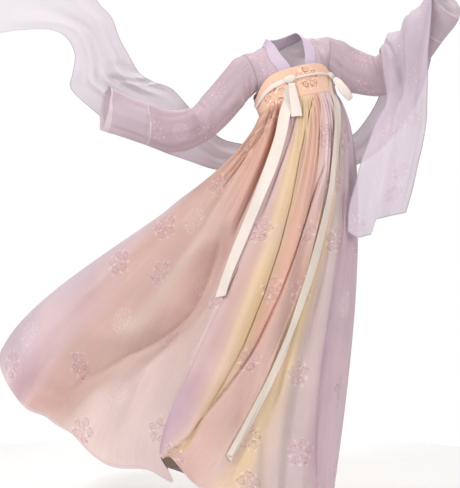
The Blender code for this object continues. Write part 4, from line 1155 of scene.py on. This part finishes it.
SHAWL_ROWS = 344
SHAWL_STRETCHES = [
    # word, from and to as shares of the shawl's length, free edges, what it lies on
    ("flying", 0.0, 15 / 49, "sides top", []),
    ("behind", 15 / 49, 24 / 49, "sides", []),
    ("arm", 24 / 49, 1.0, "sides bottom", ["sleeve_left"]),
]
SHAWL_FLOWERS = [
    # way along, way across, kind
    (0.871, 0.25, 0), (0.873, 0.62, 0), (0.939, 0.267, 0), (0.97, 0.30, 0), (0.985, 0.86, 0),
    (0.80, 0.30, 0), (0.74, 0.6, 0), (0.70, 0.2, 0), (0.62, 0.6, 0), (0.55, 0.3, 0), (0.47, 0.7, 0),
    (0.40, 0.3, 0), (0.33, 0.7, 0),
]
SHAWL_CREASES = [
    # from the way along and across, to the way along and across, width, depth in mm
    (0.175, 0.70, 0.27, 0.80, 0.040, -11), (0.180, 0.50, 0.30, 0.62, 0.045, -12),
    (0.190, 0.28, 0.30, 0.42, 0.045, -11), (0.180, 0.60, 0.26, 0.70, 0.035, 9),
    (0.185, 0.40, 0.29, 0.52, 0.035, 9), (0.155, 0.85, 0.30, 0.92, 0.035, 9),
    (0.02, 0.35, 0.20, 0.55, 0.08, 5), (0.02, 0.72, 0.18, 0.72, 0.08, -5),
    (0.03, 0.15, 0.17, 0.30, 0.07, -4),
    (0.195, 0.62, 0.235, 1.02, 0.10, -9), (0.205, 0.58, 0.247, 1.00, 0.08, 8),
    (0.183, 0.74, 0.222, 1.02, 0.09, 7), (0.218, 0.66, 0.256, 1.00, 0.07, -8),
    (0.66, 0.93, 0.84, 0.55, 0.030, -10), (0.80, 0.095, 1.02, 0.085, 0.012, -3),
    (0.68, 0.55, 0.86, 0.40, 0.045, 6), (0.82, 0.80, 0.99, 0.62, 0.05, 5),
    (0.78, 0.30, 0.90, 0.22, 0.040, -4), (0.62, 0.70, 0.72, 0.86, 0.04, 8),
    (0.62, 0.50, 0.70, 0.72, 0.03, -9), (0.60, 0.30, 0.69, 0.45, 0.03, -8),
]
SHAWL_CORNER_DROP = 0.045    # the inner corner of its lower end hangs lower, past a fold
SHAWL_RIPPLE = 0.0012        # fine ripples over the whole shawl
SHAWL_SILK = woven_cloth(
    "sheer_shawl_silk", dye(214, 199, 213), opacity=0.84, flower=dye(214, 170, 180),
    pale_dots=dye(246, 230, 228), tint=dye(218, 200, 212), strength=0.5, sheen=0.2, rough=0.7, wrinkle=0.0014,
    hem=(0.003, dye(176, 160, 178), 0.95))
# The flying end grows more see-through towards its tip, so the white room shows through and it looks paler
# there: painted light, the tip washed out by bright light.
SHAWL_END_SILK = woven_cloth(
    "sheer_shawl_end_silk", dye(216, 203, 214), opacity=0.6, sheen=0.1, rough=0.8, wrinkle=0.0014,
    fade=(0.0, 0.42, 0.5, 0.76), hem=(0.003, dye(184, 170, 186), 0.85))


def shawl_wave(way, share):
    """How far the shawl's cloth waves out of its plain strip, in metres."""
    along = way * 2 * math.pi
    wave = np.sin(2 * math.pi * SHAWL_FOLDS * share + SHAWL_SWAY * np.sin(SHAWL_SWAYS * along))
    wave = wave * (SHAWL_FOLD_AT_EDGE + (1 - SHAWL_FOLD_AT_EDGE) * np.sin(math.pi * share))
    calm = 0.6 * (1.0 - fade_between(way, 0.12, 0.20)) + 0.5 * fade_between(way, 0.80, 0.88)
    wave = wave * SHAWL_FOLD_DEPTH * (1.0 - calm)
    for way_a, across_a, way_b, across_b, width, depth in SHAWL_CREASES:
        t = (way - way_a) / (way_b - way_a)
        centre = across_a + (across_b - across_a) * np.clip(t, 0.0, 1.0)
        ends = fade_between(t, -0.1, 0.3) * (1.0 - fade_between(t, 0.75, 1.1))
        wave = wave + depth * MM * np.exp(-((share - centre) / width) ** 2) * ends
    ripple = np.sin(9 * math.pi * share + 2.0 * np.sin(along * 2.0)) * np.sin(along * 1.5)
    return wave + SHAWL_RIPPLE * ripple


def shawl_grid():
    table = np.array(SHAWL, dtype=float) * CM
    way = np.linspace(0.0, 1.0, SHAWL_ROWS)[:, None]
    edges = curve_through(table.reshape(-1, 2, 3), way[:, 0])
    share = np.linspace(0.0, 1.0, SHAWL_COLUMNS)
    grid = edges[:, :1] * (1 - share[:, None]) + edges[:, 1:] * share[:, None]
    corner = fade_between(share, 0.50, 0.60) * (1.0 - fade_between(share, 0.80, 1.15))
    grid[..., 2] -= SHAWL_CORNER_DROP * corner * fade_between(way, 0.86, 1.0)
    return grid + facing_out(grid) * shawl_wave(way, share)[..., None]


def make_shawl():
    whole = shawl_grid()
    normals = facing_out(whole)
    flowers = flower_places(*cloth_lengths(whole), SHAWL_FLOWERS, SHEER_FLOWER_RADIUS)
    for word, start, end, free_edges, rests_on in SHAWL_STRETCHES:
        first, last = int(round(start * (SHAWL_ROWS - 1))), int(round(end * (SHAWL_ROWS - 1)))
        silk = SHAWL_END_SILK if word == "flying" else SHAWL_SILK
        cloth_piece(f"shawl_{word}_silk", whole[first:last + 1], silk, f"shawl_{word}",
                    flowers=flowers[first:last], normals=normals[first:last + 1], hems=free_edges)


make_shawl()


# The ties: a cream tape sewn double. It goes round the band, twisted thin between the two
# knots in front; each knot lets a long flat end fall down the skirt. The right one has a
# short end beside it and the left one a loop.
TIE_DROP = 0.030         # the tie lies this far below the band's top edge
TIE_LEVEL = 0.015        # and dips this much less under the armholes
TIE_WIDTH = 0.012
TAPE = 0.0018
TIE_CLEAR = 0.0007
TAIL_RIGHT = [
    # turn, down, width seen in cm
    (112, -0.0355, 2.2), (114.5, -0.018, 2.8), (118.5, 0.01, 3.3), (121, 0.06, 3.7), (119.5, 0.13, 3.8),
    (118.8, 0.20, 3.9), (118.2, 0.27, 3.9), (117.3, 0.33, 3.9), (116.2, 0.39, 3.8), (115.0, 0.45, 3.7),
    (113.2, 0.51, 3.7),
]
TAIL_LEFT = [
    (42, -0.035, 1.2), (46, -0.018, 1.2), (50, 0.01, 1.2), (56.5, 0.07, 1.2), (62, 0.15, 1.3),
    (64, 0.23, 1.6), (66.5, 0.33, 2.2), (70, 0.42, 2.8), (73.5, 0.51, 2.4), (78, 0.59, 1.7),
    (83, 0.67, 1.6), (88.5, 0.75, 1.6), (94, 0.85, 1.7),
]
TAIL_WIDTH = 0.039
TAIL_THICKNESS = 0.0010
TAIL_CLEAR = 0.0035
TAIL_LIFT_FROM = -0.02   # the way down at which a tail begins to lift over the pleats
TAIL_LIFT_OVER = 0.08
TAIL_TURN_OVER = 0.05    # the way down over which it turns from the band to the skirt
TAIL_COLUMNS = 31
TAIL_REACH = np.arange(-7.0, 7.1, 1.0)       # degrees beside it over which it lies on the highest fold
TAIL_AVERAGE = 13        # rows over which its height is evened out
TAIL_UNDER = 0.0032      # how far the part folded under lies below the rest
TAIL_SLANT = 0.012       # its end is cut on a slant
SKIRT_LENGTH = 1.28
KNOT_HALF = (0.018, 0.0058, 0.0115)     # along the tie, outward and up
KNOT_TURNS = {"right": 108.0, "left": 37.0}
KNOT_FOLD = 0.12         # depth of the main folds over the knot, and of the small tucks between them
KNOT_TUCK = 0.04
ROUND_TIE_COLUMNS = 480
ROUND_TIE_CROWN = 0.0010
ROUND_TIE_THICKNESS = 0.0012
TAPE_THICKNESS = 0.0014
LOOP = [
    # x, y, z, width
    (15.2, -6.65, -10.5, 1.5), (16.2, -8.2, -11.9, 2.3), (17.5, -9.4, -13.8, 2.6), (18.8, -9.8, -15.6, 2.7),
    (19.9, -9.2, -17.0, 2.1), (20.1, -8.2, -17.2, 1.7), (19.2, -7.4, -16.0, 2.2), (17.8, -7.0, -14.2, 2.3),
    (16.3, -6.8, -12.2, 1.5),
]
LOOP_SIDE = (0.80, 0.0, 0.60)
SHORT_END = [
    (1.3, -14.35, -12.95, 2.0), (1.9, -15.2, -16.4, 2.6), (2.5, -16.3, -20.2, 3.1), (2.9, -17.2, -23.6, 3.5),
]
SHORT_END_SIDE = (1.0, 0.0, 0.10)
CREAM_TAPE = woven_cloth(
    "cream_tie_tape", dye(241, 229, 220), sheen=0.35, rough=0.65, wrinkle=0.0010)
THIN_TAPE = woven_cloth(
    "cream_tie_tape_single", dye(236, 222, 211), opacity=0.86, sheen=0.3, rough=0.65, wrinkle=0.0010)


def tie_top(turn):
    return band_top(turn) - TIE_DROP + TIE_LEVEL * np.cos(turn) ** 6


def band_normal(turn):
    along = chest_ring(turn + 0.01, BAND_BOTTOM, 0.0) - chest_ring(turn - 0.01, BAND_BOTTOM, 0.0)
    return unit(np.cross(along, -UP))


def surface_at(turn, down):
    """Places on the skirt, or on the band where down is below 0, and the way out of the cloth."""
    places, outward = [], []
    for t, d in zip(turn, down):
        one = np.array([t])
        on_skirt = min(max(d / TAIL_TURN_OVER, 0.0), 1.0)
        place = skirt_base(one, np.array([max(d, 0.0)]))[0]
        places.append(place + UP * max(-d, 0.0) * SKIRT_LENGTH)
        band = band_normal(np.radians(one))[0]
        outward.append(band + (skirt_normal(one, np.array([max(d, 0.01)]))[0] - band) * on_skirt)
    return np.array(places), unit(outward)


def make_tail(word, route, rows, material):
    """A tape laid over the folds of the skirt, with one side folded under where it looks narrow."""
    turn, down, seen = curve_through(np.array(route, dtype=float), np.linspace(0.0, 1.0, rows)).T
    places, outward = surface_at(turn, down)
    peak = np.max([skirt_out(turn + step, np.maximum(down, 0.0))[0] for step in TAIL_REACH], axis=0)
    peak = np.pad(np.maximum(peak, 0.0), TAIL_AVERAGE // 2, "edge")
    peak = np.convolve(peak, np.full(TAIL_AVERAGE, 1 / TAIL_AVERAGE), "valid")
    ramp = np.clip((down - TAIL_LIFT_FROM) / TAIL_LIFT_OVER, 0.0, 1.0)
    centre = places + outward * (TAPE + TIE_CLEAR + ramp * (peak + TAIL_CLEAR))[:, None]
    ahead = unit(np.gradient(centre, axis=0))
    side = unit(np.cross(ahead, outward))
    seen = np.minimum(seen * CM / TAIL_WIDTH, 1.0)[:, None]
    share = np.linspace(0.0, 1.0, TAIL_COLUMNS)[None, :]
    folded = np.maximum(share - seen, 0.0)
    across = (np.minimum(share, seen) - folded - seen / 2) * TAIL_WIDTH
    way = np.linspace(0.0, 1.0, rows)[:, None]
    curl = 0.0016 * np.sin(way * 21.0 + 3.0 * share) + 0.003 * (share - 0.5) ** 2 * np.sin(way * 9.0)
    pinch = 0.0015 * np.cos(share * 19.0) * (1.0 - fade_between(way, 0.0, 0.14))
    rise = curl + pinch - TAIL_UNDER * fade_between(folded, 0.0, 0.06)
    grid = centre[:, None] + side[:, None] * across[..., None] + outward[:, None] * rise[..., None]
    grid = grid + ahead[:, None] * (share * fade_between(way, 0.93, 1.0) * TAIL_SLANT)[..., None]
    cloth_piece(f"tail_{word}_tape", grid, material, f"tail_{word}",
                thickness=TAIL_THICKNESS)


def make_tape(node, route, side):
    """A short tape along a route, pinched where it leaves the knot and bowed out across."""
    route = curve_through(np.array(route) * CM, np.linspace(0.0, 1.0, 14 * len(route)))
    share = np.linspace(0.5, -0.5, 13)[None, :]
    grid = route[:, None, :3] + unit(side) * share[..., None] * route[:, None, 3:]
    way = np.linspace(0.0, 1.0, len(route))[:, None]
    pinch = 0.0012 * np.cos(share * 21.0) * (1 - fade_between(way, 0.0, 0.4))
    crown = 0.002 * np.cos(math.pi * share) - pinch
    grid = grid + facing_out(grid) * (crown * fade_between(way, 0.0, 0.08))[..., None]
    cloth_piece(f"{node}_tape", grid, CREAM_TAPE, node,
                thickness=TAPE_THICKNESS)


def make_round_tie():
    """The tape round the band: twisted thin between the knots, and wider past the right one."""
    turns = np.linspace(0.0, 2 * math.pi, ROUND_TIE_COLUMNS, endpoint=False)
    degrees = np.degrees(turns)
    thin = fade_between(degrees, 38.0, 46.0) * (1.0 - fade_between(degrees, 98.0, 106.0))
    wide = fade_between(degrees, 110.0, 118.0) * (1.0 - fade_between(degrees, 150.0, 175.0))
    width = TIE_WIDTH * (1.0 - 0.42 * thin + 0.3 * wide)
    share = np.linspace(0.0, 1.0, 9)[:, None]
    up = tie_top(turns) - TIE_WIDTH / 2 + width * (0.5 - share)
    twist = thin * (1.0 + np.sin(turns * 110.0 + share * 4.0))
    rise = ROUND_TIE_CROWN * (twist + np.sin(math.pi * share))
    grid = chest_ring(turns + 0 * share, up, TAPE + TIE_CLEAR) + band_normal(turns) * rise[..., None]
    cloth_piece("tie_round_tape", grid, CREAM_TAPE, "tie_round", closed=True,
                thickness=ROUND_TIE_THICKNESS)


def make_knot(word):
    """A soft knot: a rounded lump, with the folds of the tape winding over it."""
    turn = math.radians(KNOT_TURNS[word])
    up = tie_top(turn) - TIE_WIDTH / 2
    along = unit(chest_ring(turn + 0.05, up, 0.0) - chest_ring(turn - 0.05, up, 0.0))
    outward = band_normal(turn)
    centre = chest_ring(turn, up, 0.0) + outward * (TAPE + KNOT_HALF[1])
    polar = np.linspace(0.04, math.pi - 0.04, 40)[:, None]
    around = np.linspace(0.0, 2 * math.pi, 64, endpoint=False)[None, :]
    folds = KNOT_FOLD * np.abs(np.sin(2.6 * polar + 0.5 * np.sin(around) + 0.4))
    size = (0.90 + folds + KNOT_TUCK * np.sin(3 * around + 4.0 * polar)) * np.sin(polar) ** 0.55
    half_long, half_out, half_up = KNOT_HALF
    grid = (centre - along * (half_long * 0.97 * np.cos(polar) + 0 * around)[..., None]
            + outward * (half_out * size * np.cos(around))[..., None]
            + UP * (half_up * size * np.sin(around))[..., None])
    cloth_piece(f"knot_{word}_tape", grid[:, ::-1], CREAM_TAPE, f"knot_{word}",
                closed=True, tape_width=TAIL_WIDTH)


make_round_tie()
make_knot("right")
make_knot("left")
make_tail("right", TAIL_RIGHT, 160, CREAM_TAPE)
make_tail("left", TAIL_LEFT, 240, THIN_TAPE)
make_tape("short_end", SHORT_END, SHORT_END_SIDE)
make_tape("loop_left", LOOP, LOOP_SIDE)


# Floor, light and camera: a plain pale studio, with the camera level and in front, as far
# off as the photo's perspective asks.
FLOOR_RADIUS = 1.7
FLOOR_SIDES = 96
FLOOR_MIDDLE = -0.2
FLOOR_CLEAR = 0.002
AIR_LIGHT = 0.46
LAMP_COLOUR = (1.0, 0.975, 0.95)
LAMP_AIM = (-0.2, 0.0, -0.6)
LAMPS = [
    # name, place, size, power
    ("key", (-2.5, -3.0, 2.0), 0.9, 96.0),
    ("fill", (2.6, -3.2, 0.6), 2.4, 58.0),
    ("top", (-0.2, 0.4, 2.6), 2.6, 60.0),
    ("back", (0.8, 3.0, 1.6), 2.0, 34.0),
    ("low", (-0.7, -2.6, -1.2), 1.6, 9.0),
]
CAMERA_PLACE = (-0.176, -4.0, -0.627)
CAMERA_LENS = 92.2


def make_floor():
    """A round sheet of pale paper, just under the part."""
    turns = np.linspace(0.0, 2 * math.pi, FLOOR_SIDES, endpoint=False)
    height = float(cad_low[2]) - FLOOR_CLEAR
    rim = [(FLOOR_MIDDLE + FLOOR_RADIUS * math.cos(turn), FLOOR_RADIUS * math.sin(turn), height)
           for turn in turns]
    mesh = bpy.data.meshes.new("floor")
    mesh.from_pydata(rim, [], [tuple(range(FLOOR_SIDES))])
    floor = bpy.data.objects.new("floor", mesh)
    bpy.context.scene.collection.objects.link(floor)
    paper = bpy.data.materials.new("studio_paper")
    paper.use_nodes = True
    w = Weave(paper.node_tree)
    shader = paper.node_tree.nodes["Principled BSDF"]
    grain = w.band(w.noise(w.node("TexCoord").outputs["Object"], 60.0), 0.3, 0.7)
    w.feed(shader.inputs["Base Color"], w.mix(grain, (0.94, 0.94, 0.94, 1), (0.97, 0.97, 0.97, 1)))
    shader.inputs["Roughness"].default_value = 0.9
    mesh.materials.append(paper)


def make_light():
    """White air, brighter where the camera looks straight at it, and five lamps."""
    world = bpy.data.worlds.new("studio")
    bpy.context.scene.world = world
    world.use_nodes = True
    w = Weave(world.node_tree)
    background = world.node_tree.nodes["Background"]
    background.inputs["Color"].default_value = (1.0, 1.0, 1.0, 1.0)
    seen = Amount(w, w.node("LightPath").outputs["Is Camera Ray"])
    w.feed(background.inputs["Strength"], seen * (1.0 - AIR_LIGHT) + AIR_LIGHT)
    for name, place, size, power in LAMPS:
        lamp = bpy.data.lights.new(name, "AREA")
        lamp.size = size
        lamp.energy = power
        lamp.color = LAMP_COLOUR
        holder = bpy.data.objects.new(name, lamp)
        holder.location = place
        bpy.context.scene.collection.objects.link(holder)
        direction = Vector(np.array(LAMP_AIM) - np.array(place))
        holder.rotation_mode = "QUATERNION"
        holder.rotation_quaternion = direction.to_track_quat("-Z", "Y")


def make_camera():
    scene = bpy.context.scene
    camera = bpy.data.cameras.new("camera")
    camera.lens = CAMERA_LENS
    eye = bpy.data.objects.new("camera", camera)
    eye.location = CAMERA_PLACE
    eye.rotation_euler = (math.radians(90.0), 0.0, 0.0)
    scene.collection.objects.link(eye)
    scene.camera = eye
    scene.view_settings.view_transform = "Standard"


make_floor()
make_light()
make_camera()
